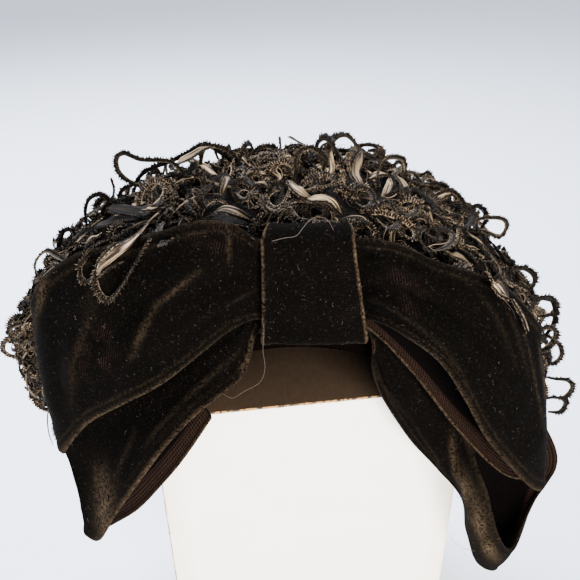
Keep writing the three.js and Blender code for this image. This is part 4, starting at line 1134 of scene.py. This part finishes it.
def plume_tree():
    """Turns edge paths into ribs with a comb of barbs. A path's points carry outward, the way its
    barbs point, girth, the share of their full length, and tone."""
    sizes = ("Barb Spacing", "Barb Length", "Barb Width", "Rib Radius", "Core Radius", "Core Reach",
             "Core Flatness")
    sockets = {**{title: "Float" for title in sizes}, "Seed": "Int", "Finish": "Material"}
    tree, given, smooth = start_group("trimmed_plume_loops", sockets)

    coarse = add(tree, "GeometryNodeResampleCurve", {"Curve": smooth, "Length": 0.0021}, mode="LENGTH")
    rib = skin(tree, coarse, given["Rib Radius"], 3)
    rib_marked = add(tree, "GeometryNodeStoreNamedAttribute",
                     {"Geometry": rib, "Name": "tip", "Value": -1.0}, data_type="FLOAT")

    outward = add(tree, "GeometryNodeInputNamedAttribute", {"Name": "outward"}, data_type="FLOAT_VECTOR")
    girth = add(tree, "GeometryNodeInputNamedAttribute", {"Name": "girth"}, data_type="FLOAT")
    stem = add(tree, "GeometryNodeInputPosition")
    shift = add(tree, "ShaderNodeMath", {0: given["Core Reach"], 1: girth}, operation="MULTIPLY")
    offset = add(tree, "ShaderNodeVectorMath", {0: outward, "Scale": shift}, operation="SCALE")
    beside = add(tree, "GeometryNodeSetPosition", {"Geometry": coarse, "Offset": offset})
    kept = add(tree, "GeometryNodeStoreNamedAttribute",
               {"Geometry": beside, "Name": "axis", "Value": stem}, data_type="FLOAT_VECTOR")
    measured = add(tree, "GeometryNodeStoreNamedAttribute",
                   {"Geometry": kept, "Name": "along",
                    "Value": add(tree, "GeometryNodeSplineParameter").outputs["Length"]}, data_type="FLOAT")
    fat = add(tree, "ShaderNodeMath", {0: given["Core Radius"], 1: girth}, operation="MULTIPLY")
    core = skin(tree, measured, fat, 4)
    axis = add(tree, "GeometryNodeInputNamedAttribute", {"Name": "axis"}, data_type="FLOAT_VECTOR")
    off_axis = add(tree, "ShaderNodeVectorMath", {0: stem, 1: axis}, operation="SUBTRACT")
    along_barbs = add(tree, "ShaderNodeVectorMath", {0: off_axis, 1: outward}, operation="DOT_PRODUCT")
    spread = add(tree, "ShaderNodeMath", {0: along_barbs, 1: given["Core Flatness"]},
                 operation="MULTIPLY")
    widening = add(tree, "ShaderNodeVectorMath", {0: outward, "Scale": spread}, operation="SCALE")
    flattened = add(tree, "GeometryNodeSetPosition", {"Geometry": core, "Offset": widening})
    core_marked = add(tree, "GeometryNodeStoreNamedAttribute",
                      {"Geometry": flattened, "Name": "tip", "Value": 0.25}, data_type="FLOAT")

    stations = add(tree, "GeometryNodeResampleCurve",
                   {"Curve": smooth, "Length": given["Barb Spacing"]}, mode="LENGTH")
    tangent = add(tree, "GeometryNodeInputTangent")
    sideways = add(tree, "ShaderNodeVectorMath", {0: outward, 1: tangent}, operation="CROSS_PRODUCT")
    scatter = add(tree, "FunctionNodeRandomValue",
                  {"Min": (0.05, -0.42, 0.75), "Max": (0.5, 0.42, 1.1), "Seed": given["Seed"]},
                  data_type="FLOAT_VECTOR")
    shares = add(tree, "ShaderNodeSeparateXYZ", {"Vector": scatter})
    forward = add(tree, "ShaderNodeVectorMath", {0: tangent, "Scale": shares.outputs["X"]}, operation="SCALE")
    aside = add(tree, "ShaderNodeVectorMath", {0: sideways, "Scale": shares.outputs["Y"]}, operation="SCALE")
    tilted = add(tree, "ShaderNodeVectorMath", {0: outward, 1: forward}, operation="ADD")
    leaning = add(tree, "ShaderNodeVectorMath", {0: tilted, 1: aside}, operation="ADD")
    turn = add(tree, "FunctionNodeAxesToRotation", {"Primary Axis": leaning, "Secondary Axis": tangent},
               primary_axis="Z", secondary_axis="X")
    reach = add(tree, "ShaderNodeMath", {0: given["Barb Length"], 1: shares.outputs["Z"]},
                operation="MULTIPLY")
    long = add(tree, "ShaderNodeMath", {0: reach, 1: girth}, operation="MULTIPLY")
    size = add(tree, "ShaderNodeCombineXYZ",
               {"X": given["Barb Width"], "Y": given["Barb Width"], "Z": long})
    spike = add(tree, "GeometryNodeMeshCone",
                {"Vertices": 3, "Radius Top": 0.0, "Radius Bottom": 0.6, "Depth": 1.0},
                fill_type="TRIANGLE_FAN")
    height = add(tree, "ShaderNodeSeparateXYZ", {"Vector": add(tree, "GeometryNodeInputPosition")})
    spike_marked = add(tree, "GeometryNodeStoreNamedAttribute",
                       {"Geometry": spike, "Name": "tip", "Value": height.outputs["Z"]},
                       data_type="FLOAT")
    moved = add(tree, "GeometryNodeSetPosition", {"Geometry": stations, "Offset": offset})
    comb = add(tree, "GeometryNodeInstanceOnPoints",
               {"Points": moved, "Instance": spike_marked, "Rotation": turn,
                "Scale": size})

    joined = add(tree, "GeometryNodeJoinGeometry")
    for part in (comb, core_marked, rib_marked):
        connect(tree, joined, {0: part})
    end_group(tree, joined, given["Finish"])
    return tree


def grown(name, source, tree, inputs):
    """The plain mesh that a node tree makes from a source object, which is then dropped."""
    modifier = source.modifiers.new("growth", "NODES")
    modifier.node_group = tree
    for item in tree.interface.items_tree:
        if item.in_out == "INPUT" and item.name in inputs:
            modifier[item.identifier] = inputs[item.name]
    source.update_tag()
    bpy.context.view_layer.update()
    final = source.evaluated_get(bpy.context.evaluated_depsgraph_get())
    mesh = bpy.data.meshes.new_from_object(final)
    mesh.name = name
    source.modifiers.clear()
    bpy.data.objects.remove(source)
    for title in ("outward", "girth", "axis"):
        if title in mesh.attributes:
            mesh.attributes.remove(mesh.attributes[title])
    made = bpy.data.objects.new(name, mesh)
    bpy.context.collection.objects.link(made)
    return made


def paths_object(name, paths):
    """An edge mesh from paths, each a row of points in millimetres with its outward ways, girths
    and tone."""
    points, edges, outward, girth, tone = [], [], [], [], []
    for line, ways, girths, shade in paths:
        start = len(points)
        points += [tuple(0.001 * p) for p in line]
        edges += [(start + k, start + k + 1) for k in range(len(line) - 1)]
        outward += list(ways)
        girth += list(girths)
        tone += [shade] * len(line)
    mesh = bpy.data.meshes.new(name)
    mesh.from_pydata(points, edges, [])
    stored = mesh.attributes.new("outward", "FLOAT_VECTOR", "POINT")
    stored.data.foreach_set("vector", np.array(outward).ravel())
    mark_points(mesh, "girth", girth)
    mark_points(mesh, "tone", tone)
    made = bpy.data.objects.new(name, mesh)
    bpy.context.collection.objects.link(made)
    return made


def unit(values):
    return values / np.maximum(np.linalg.norm(values, axis=-1, keepdims=True), 1e-9)


def dressed_path(line, centre, shade, rng, bare_share=BARE_SHARE):
    """A path with its barbs pointing away from a centre, and shorter barbs at its two ends."""
    ahead = unit(np.gradient(line, axis=0))
    away = line - centre
    away = unit(away - ahead * np.sum(away * ahead, axis=1, keepdims=True))
    share = np.linspace(0, 1, len(line))
    fullness = 0.3 if rng.uniform() < bare_share else rng.uniform(0.75, 1.1)
    girths = np.clip(np.minimum(share, 1 - share) * 6 + 0.45, 0, 1) * fullness
    return line, away, girths, shade


def foot_frame(step, level):
    """The ground under a feather: its point, the way it faces, downhill, and sideways."""
    place, facing = crown_points(step, level, pad_lift(step, level) - 2.5)
    downhill = unit(crown_points(step, max(level - 0.25, 0))[0] - crown_points(step, level)[0])
    return place, facing, downhill, unit(np.cross(facing, downhill))


def teardrop_path(ground, rng, rise=None):
    """A feather bent back on itself, leaning well over, or the way that it is given to rise."""
    place, facing, downhill, sideways = ground
    turn = rng.uniform(0, 2 * math.pi)
    slope = downhill * math.cos(turn) + sideways * math.sin(turn) + downhill * 0.35
    rise = unit(facing * rng.uniform(0.05, 0.5) + slope) if rise is None else rise
    spin = rng.uniform(0, math.pi)
    level_way, steep_way = unit(np.cross(rise, facing)), unit(np.cross(rise, np.cross(rise, facing)))
    across = level_way * math.cos(spin) + steep_way * math.sin(spin)
    length = rng.uniform(14, 25)
    wide = length * rng.uniform(0.16, 0.3)
    third = np.cross(rise, across) * rng.uniform(-4, 4)
    rows = TEARDROP + rng.normal(0, 0.03, TEARDROP.shape)
    line = [place + rise * length * a + across * wide * b + third * math.sin(3 * a) for a, b in rows]
    return np.array(line), place + rise * length * 0.66


def ringlet_path(ground, rng):
    """A feather's end curled round itself once or twice, lying on the rest."""
    place, facing, downhill, sideways = ground
    turns = rng.uniform(0.8, 1.7)
    first = rng.uniform(0, 2 * math.pi)
    axis = unit(facing * rng.uniform(-0.6, 0.6) + downhill * rng.normal() + sideways * rng.normal())
    one = unit(np.cross(axis, facing))
    two = np.cross(axis, one)
    radius = rng.uniform(3.6, 6.0)
    grow = rng.uniform(0.1, 0.5)
    centre = place + facing * rng.uniform(2.5, 5.5)
    angles = first + np.linspace(0, 2 * math.pi * turns, int(9 * turns) + 2)
    share = np.linspace(0, 1, len(angles))
    reach = radius * (1 - grow * share)
    pitch = rng.uniform(-3.5, 3.5)
    line = [centre + (one * math.cos(a) + two * math.sin(a)) * r + axis * pitch * s
            for a, r, s in zip(angles, reach, share)]
    return np.array(line), centre


def wandering_path(ground, rng, heading=None, curl=0.22):
    """A feather that winds over the ground and dips back into it. Heading is its first course,
    measured from downhill."""
    place, facing, downhill, sideways = ground
    heading = rng.uniform(0, 2 * math.pi) if heading is None else heading
    bend = rng.normal(0, curl)
    line, here = [], place.copy()
    count = rng.integers(8, 15)
    top = rng.uniform(3.5, 6.5)
    for k in range(count):
        share = k / (count - 1)
        line.append(here + facing * top * math.sin(math.pi * share) ** 0.7)
        bend += rng.normal(0, curl)
        bend = float(np.clip(bend, -0.75, 0.75))
        heading += bend
        here = here + (downhill * math.cos(heading) + sideways * math.sin(heading)) * 3.2
    line = np.array(line)
    return line, line.mean(axis=0) - facing * 4


def smooth_line(rows, steps):
    """A finer row of values on a smooth curve through the given rows."""
    padded = np.concatenate([rows[:1] * 2 - rows[1:2], rows, rows[-1:] * 2 - rows[-2:-1]])
    return np.array([smooth_row(padded, place + 1) for place in np.linspace(0, len(rows) - 1.001, steps)])


level, step = np.meshgrid(
    np.arange(0.25, CROWN_UP + 0.01, 0.25), np.arange(0, CROWN_AROUND, 0.25), indexing="ij")
ground_places, ground_facing = (
    rows.reshape(-1, 3) for rows in crown_points(step, level, pad_lift(step, level)))
ground_tree = KDTree(len(ground_places))
for number, place in enumerate(ground_places):
    ground_tree.insert(place, number)
ground_tree.balance()


def ground_near(points):
    """For each point, the way that the crown faces there and the height over the mat."""
    nearest = [ground_tree.find(p)[1] for p in points]
    return ground_facing[nearest], np.sum((points - ground_places[nearest]) * ground_facing[nearest], axis=1)


bow_surfaces = []
for piece in bow:
    work = bmesh.new()
    work.from_mesh(piece.data)
    bow_surfaces.append(BVHTree.FromBMesh(work))
    work.free()


def near_bow(place):
    """Whether a foot stands close behind the velvet, so that its feather may hang over it."""
    spot = Vector(0.001 * place)
    return any(surface.find_nearest(spot, 0.014)[0] is not None for surface in bow_surfaces)


def overhanging_path(ground, rng):
    """A feather that leans out over the bow's upper edge, towards the wearer's front."""
    facing = ground[1]
    rise = unit(facing * rng.uniform(0.3, 1.0) + np.array([rng.normal(0, 0.4), -1, rng.normal(0.3, 0.25)]))
    return teardrop_path(ground, rng, rise)


def clear_of_bow(line):
    """Whether a path keeps off the velvet all along."""
    for point in line:
        spot = Vector(0.001 * point)
        for surface in bow_surfaces:
            if surface.find_nearest(spot, 0.001 * KEEP_OFF_BOW)[0] is not None:
                return False
    return True


single_spots = []
for shade, rows in SINGLE_VANES:
    spots = smooth_line(np.array(rows), 2 * len(rows))[:, :3]
    for lift in (0, 3, 6):
        single_spots += list(spots + ground_near(spots)[0] * lift)
single_spots = np.array(single_spots)


def keeps_place(line):
    """Whether a path leaves the single vanes in sight, lies low on the mat, and stays within the
    hat's outline, which is trim at the lower left and right."""
    nearest = min(np.min(np.sum((single_spots - p) ** 2, axis=1)) for p in line)
    trim = ((line[:, 0] < -124) & (line[:, 2] < 190)) | ((line[:, 0] > 121) & (line[:, 2] < 150))
    shoulder = np.clip((line[:, 0] - 25) / 40, 0, 1) * np.clip((line[:, 2] - 195) / 20, 0, 1)
    height = ground_near(line)[1] + LOWER_ON_RIGHT * shoulder + LOWER_WHERE_TRIM * trim
    height = height - HIGHER_BEHIND * np.clip((line[:, 1] - 15) / 30, 0, 1)
    low_enough = np.all((height < HIGHEST_LOOP) | (line[:, 1] < -45))
    return nearest > KEEP_OFF_SINGLE ** 2 and low_enough


def feet(rng, apart):
    """Places for feathers all over the ground, none closer together than asked."""
    kept, found = np.empty((0, 3)), []
    first, last, lowest = FIELDS["feathers_front"]
    steps, levels = rng.uniform(0, CROWN_AROUND, FOOT_TRIES), rng.uniform(0.25, CROWN_UP, FOOT_TRIES)
    for step, level in zip(steps, levels):
        if first < step < last and level < lowest + 0.05:
            continue
        place = crown_points(step, level, pad_lift(step, level))[0]
        if len(kept) and np.min(np.sum((kept - place) ** 2, axis=1)) < apart ** 2:
            continue
        kept = np.vstack([kept, place])
        found.append((step, level))
    return found


def field_of(step, level):
    if level >= TOP_PANEL_STARTS:
        return "feathers_top"
    for name, (first, last, _) in FIELDS.items():
        if first <= step < last or first <= step - CROWN_AROUND < last:
            return name


rng = np.random.default_rng(17)
grouped = {name: [] for name in (*FIELDS, "feathers_top")}
for step, level in feet(rng, LOOPS_APART):
    ground = foot_frame(step, level)
    over_bow = ground[0][2] > 215 and near_bow(ground[0])
    for _ in range(LOOP_TRIES):
        kind = rng.choice([teardrop_path, ringlet_path, wandering_path], p=[0.36, 0.38, 0.26])
        if over_bow and rng.uniform() < OVERHANG_SHARE:
            kind = overhanging_path
        line, centre = kind(ground, rng)
        if keeps_place(line) and clear_of_bow(line):
            grouped[field_of(step, level)].append(dressed_path(line, centre, rng.uniform(0, 1) ** 1.8, rng))
            break

# A few loops stand off the back of the hat, which is where it reaches furthest.
behind = np.random.default_rng(61)
for step, level in feet(behind, BEHIND_APART):
    ground = foot_frame(step, level)
    place, facing, downhill, sideways = ground
    if place[1] > 50 and 185 < place[2] < 240:
        rise = unit(facing * 0.8 + downhill * behind.uniform(-0.2, 0.6)
                    + sideways * behind.uniform(-0.6, 0.6))
        line, centre = teardrop_path(ground, behind, rise)
        grouped[field_of(step, level)].append(dressed_path(line, centre, behind.uniform(0, 1) ** 1.8, behind))

standing = []
for points in SINGLE_LOOPS:
    line = np.array(points, float)
    standing.append(dressed_path(line, line.mean(axis=0), rng.uniform(0, 0.3), rng, 0.0))
for shade, rows in SINGLE_VANES:
    rows = np.array(rows)
    line = rows[:, :3]
    aside = unit(np.cross(unit(np.gradient(line, axis=0)), ground_near(line)[0] + [0, -0.5, 0.3]))
    standing.append((line + aside * rows[:, 3:] * 0.45, aside, np.full(len(line), 0.5), 0.5 * shade))
grouped["feathers_single"] = standing

loops_tree = plume_tree()
plume_inputs = {
    "Barb Spacing": 0.001 * BARB_SPACING,
    "Barb Length": 0.001 * BARB_LENGTH,
    "Barb Width": 0.001 * BARB_WIDTH,
    "Rib Radius": 0.001 * RIB_RADIUS,
    "Core Radius": 0.001 * CORE_RADIUS,
    "Core Reach": 0.001 * CORE_REACH,
    "Core Flatness": CORE_FLATNESS,
    "Finish": plume,
}
for number, (name, paths) in enumerate(grouped.items()):
    source = paths_object(name + "_paths", paths)
    chosen = {**plume_inputs, "Seed": 3 + number}
    if name == "feathers_single":
        chosen["Barb Spacing"] = 0.001 * SINGLE_BARB_SPACING
    made = grown(name + "_loops", source, loops_tree, chosen)
    on_root(made, "feather")


# Where a plume was left untrimmed, its barbs lie side by side in a flat, shiny vane of brown and
# grey; its paler tan is partly painted highlight. Some taper into a comb-edged rib, others end
# where they dip into the mass.
VANE_THICKNESS = 0.35
VANES_APART = 14.0
SWEPT_APART = 10.0
VANE_TRIES = 6

# Flat vane: keratin barbs hooked together, with fine grooves along them a third of a millimetre
# apart, drawn at half a millimetre so that they show. It has the satin gloss of a smooth feather.
# The pale tan streaks of the paler vanes are painted highlight, for the light they catch.
vane, tree, shader = start_material("flat_feather_vane", {"Roughness": 0.65, "Specular IOR Level": 0.06})
lie = add(tree, "ShaderNodeUVMap", uv_map="vane")
tone = add(tree, "ShaderNodeAttribute", attribute_name="tone").outputs["Fac"]
stretch = add(tree, "ShaderNodeMapping", {"Vector": lie, "Scale": (50.0, 780.0, 1.0)})
grooves = add(tree, "ShaderNodeTexNoise", {"Vector": stretch, "Scale": 1.0, "Detail": 4.0})
streaks = add(tree, "ShaderNodeMapRange", {"Value": grooves, 1: 0.45, 2: 0.56})
low_colour = add(tree, "ShaderNodeMix", {0: tone, 6: "#050303", 7: "#1d150f"}, data_type="RGBA")
high_colour = add(tree, "ShaderNodeMix", {0: tone, 6: "#17110d", 7: "#927d62"}, data_type="RGBA")
relief = add(tree, "ShaderNodeBump", {"Height": grooves, "Strength": 0.5, "Distance": 0.0004})
colour = add(tree, "ShaderNodeMix", {0: streaks, 6: low_colour, 7: high_colour}, data_type="RGBA")
connect(tree, shader, {"Base Color": colour, "Normal": relief})


def vane_strip(line, aside, widths):
    """Rings of a flat strip that runs along a line and reaches out aside by its width."""
    ahead = unit(np.gradient(line, axis=0))
    aside = unit(aside - ahead * np.sum(aside * ahead, axis=1, keepdims=True))
    thick = np.cross(ahead, aside) * VANE_THICKNESS / 2
    reach = aside * widths[:, None]
    cup = np.cross(ahead, aside) * widths[:, None] * 0.12
    near, far = line - reach / 4, line + reach / 4
    return np.stack([
        line - reach / 2, near + thick + cup * 0.7, line + thick + cup, far + thick + cup * 0.7,
        line + reach / 2, far - thick + cup * 0.7, line - thick + cup, near - thick + cup * 0.7,
    ], axis=1)


def vanes_piece(name, strips):
    """One mesh of many strips, each a row of rings with its paleness."""
    points, faces, uvs, tones = [], [], [], []
    across = (0, 0.25, 0.5, 0.75, 1, 0.75, 0.5, 0.25)
    for rings, shade in strips:
        start, (count, width) = len(points), rings.shape[:2]
        points += list(rings.reshape(-1, 3))
        # Each strip is painted darker towards both ends, as painted shade where it dips into the mass.
        painted_end_shade = np.clip(3.2 * np.minimum(np.linspace(0, 1, count), np.linspace(1, 0, count)) + 0.05, 0, 1)
        tones += list(np.repeat(shade * painted_end_shade, width))
        run = np.concatenate([[0], np.cumsum(np.linalg.norm(np.diff(rings[:, 2], axis=0), axis=1))])
        wide = np.linalg.norm(rings[:, 4] - rings[:, 0], axis=1)
        uvs += [(0.001 * (run[i] + 7 * start), 0.001 * wide[i] * across[j])
                for i in range(count) for j in range(width)]
        for i in range(count - 1):
            for j in range(width):
                k = (j + 1) % width
                faces.append([start + i * width + j, start + i * width + k,
                              start + (i + 1) * width + k, start + (i + 1) * width + j])
        faces += [[start + j for j in range(width)], [start + (count - 1) * width + j for j in range(width)]]
    made = mesh_piece(name, points, faces, [vane])
    mesh = made.data
    mark_points(mesh, "tone", tones)
    lay_flat(mesh, "vane", uvs)
    face_outwards(made)
    return made


rng = np.random.default_rng(23)
strips = []
for shade, rows in SINGLE_VANES:
    rows = smooth_line(np.array(rows), 4 * len(rows))
    line = rows[:, :3]
    ahead = unit(np.gradient(line, axis=0))
    aside = np.cross(ahead, ground_near(line)[0] + [0, -0.5, 0.3])
    strips.append((vane_strip(line, aside, 0.85 * rows[:, 3]), shade))
for apart in (VANES_APART, SWEPT_APART):
    for step, level in feet(rng, apart):
        swept = 14 < step < 24 and level > 1.5
        if apart == SWEPT_APART and not swept:
            continue
        ground = foot_frame(step, level)
        for _ in range(VANE_TRIES):
            if swept:
                line, centre = wandering_path(ground, rng, rng.normal(0, 0.35), 0.08)
                line = line + ground[1] * 2.5 * np.sin(math.pi * np.linspace(0, 1, len(line)))[:, None]
            else:
                line, centre = (wandering_path if rng.uniform() < 0.7 else teardrop_path)(ground, rng)
            line = smooth_line(line[:10], 24)
            share = np.linspace(0, 1, len(line))
            widths = rng.uniform(1.3, 2.6) * np.clip(4 * np.minimum(share, 1 - share) + 0.1, 0, 1)
            aside = np.cross(unit(np.gradient(line, axis=0)), ground_near(line)[0] + rng.normal(0, 0.35, 3))
            if keeps_place(line) and clear_of_bow(line):
                strips.append((vane_strip(line, aside, widths), rng.uniform(0, 1) ** 1.4))
                break
on_root(vanes_piece("feather_vanes", strips), "feather")


# Between them lie loose barbs that have shed from the trimming: fine brown fibres that curl
# through the mass. They are drawn at a quarter of a millimetre thick, so that they show.
FIBRES_APART = 5.2
FIBRE_RADIUS = 0.13

loose_fibre, tree, shader = start_material("loose_barb_fibre", {"Roughness": 0.5, "Specular IOR Level": 0.2})
tone = add(tree, "ShaderNodeAttribute", attribute_name="tone").outputs["Fac"]
fibre_colour = add(tree, "ShaderNodeMix", {0: tone, 6: "#15100c", 7: "#7a6750"}, data_type="RGBA")
connect(tree, shader, {"Base Color": fibre_colour})


def fibre_tree():
    """Turns edge paths into round fibres, thinner at their two ends by their girth."""
    sockets = {"Fibre Radius": "Float", "Step Length": "Float", "Finish": "Material"}
    tree, given, smooth = start_group("fine_fibres", sockets)
    steps = add(tree, "GeometryNodeResampleCurve",
                {"Curve": smooth, "Length": given["Step Length"]}, mode="LENGTH")
    girth = add(tree, "GeometryNodeInputNamedAttribute", {"Name": "girth"}, data_type="FLOAT")
    thick = add(tree, "ShaderNodeMath", {0: given["Fibre Radius"], 1: girth}, operation="MULTIPLY")
    end_group(tree, skin(tree, steps, thick, 3), given["Finish"])
    return tree


rng = np.random.default_rng(41)
fibres = []
for step, level in feet(rng, FIBRES_APART):
    place, facing, downhill, sideways = foot_frame(step, level)
    heading = unit(rng.normal(0, 1, 3) + facing * 0.4)
    turn = unit(rng.normal(0, 1, 3))
    here = place + facing * rng.uniform(2.5, 6.5)
    line = []
    for k in range(rng.integers(5, 10)):
        line.append(here)
        heading = unit(heading + np.cross(turn, heading) * rng.uniform(0.4, 1.1) + rng.normal(0, 0.15, 3))
        here = here + heading * 1.7
    line = np.array(line)
    if keeps_place(line) and clear_of_bow(line):
        share = np.linspace(0, 1, len(line))
        fibres.append((line, np.zeros_like(line), 0.4 + 0.6 * np.sin(math.pi * share), rng.uniform(0, 1)))
fine_tree = fibre_tree()
fibre_inputs = {"Fibre Radius": 0.001 * FIBRE_RADIUS, "Step Length": 0.0012, "Finish": loose_fibre}
made = grown("feather_loose_fibres", paths_object("loose_fibre_paths", fibres), fine_tree, fibre_inputs)
on_root(made, "feather")


# Lint and stray hairs on the velvet: pale curled fibres of a few millimetres, and a few long
# ones that hang on by an end. They too are drawn a fifth of a millimetre thick.
LINT_COUNT = 480
LINT_RADIUS = 0.065
HAIR_RADIUS = 0.11
STRAY_HAIRS = [
    [(-15.6, -76, 243), (-14.9, -79, 239.4), (-15.5, -80, 231.2), (-15, -80, 222.5), (-17.2, -80, 215.6),
     (-23.5, -79, 210.4), (-29.2, -77, 205.2), (-33.5, -75.2, 206.5)],
    [(-11, -75, 275.4), (-6.6, -76, 277.1), (-2.3, -75.5, 277.6), (0.3, -72, 279.1), (3.3, -68, 280.8),
     (6.7, -66, 280.7), (9.6, -68, 280), (11.7, -71, 277)],
    [(88.3, -65.5, 93), (83, -67, 96.7), (78.6, -67, 99.9), (73.6, -68, 106.5)],
    [(78.4, -71, 135.7), (75.9, -70, 137), (72.5, -70, 137.7)],
    [(77.7, -68.4, 246.6), (80.5, -68.2, 244), (84.5, -67.8, 238.5), (85.5, -69.8, 233.5)],
]

# Stray fibre: cotton lint and lost barbs, off-white to brown, with a dull surface.
stray, tree, shader = start_material("stray_lint_fibre", {"Roughness": 0.7, "Specular IOR Level": 0.1})
tone = add(tree, "ShaderNodeAttribute", attribute_name="tone").outputs["Fac"]
lint_colour = add(tree, "ShaderNodeMix", {0: tone, 6: "#120f0d", 7: "#4a4038"}, data_type="RGBA")
connect(tree, shader, {"Base Color": lint_colour})

rng = np.random.default_rng(53)
lint_paths = []
for piece in bow:
    faces = [face for face in piece.data.polygons if face.material_index == 0]
    weights = np.array([face.area for face in faces])
    for pick in rng.choice(len(faces), LINT_COUNT // len(bow), p=weights / weights.sum()):
        facing = np.array(faces[pick].normal)
        here = 1000 * np.array(faces[pick].center) + facing * 0.12
        heading = unit(np.cross(facing, rng.normal(0, 1, 3)))
        bend, line = rng.normal(0, 0.7), []
        for k in range(rng.integers(3, 7)):
            line.append(here + facing * 0.1 * k)
            heading = unit(heading + np.cross(facing, heading) * bend + rng.normal(0, 0.2, 3))
            here = here + heading * 0.5
        paleness = rng.uniform(0, 1) ** 2
        lint_paths.append((np.array(line), np.zeros((len(line), 3)), np.ones(len(line)), paleness))
lint_inputs = {"Fibre Radius": 0.001 * LINT_RADIUS, "Step Length": 0.0006, "Finish": stray}
made = grown("velvet_lint_fibres", paths_object("lint_paths", lint_paths), fine_tree, lint_inputs)
on_root(made, "velvet")

hair_paths = []
for points in STRAY_HAIRS:
    line = np.array(points, float)
    hair_paths.append((line, np.zeros_like(line), np.ones(len(line)), 0.7))
hair_inputs = {"Fibre Radius": 0.001 * HAIR_RADIUS, "Step Length": 0.0009, "Finish": stray}
made = grown("stray_long_hairs", paths_object("hair_paths", hair_paths), fine_tree, hair_inputs)
on_root(made, "feather")
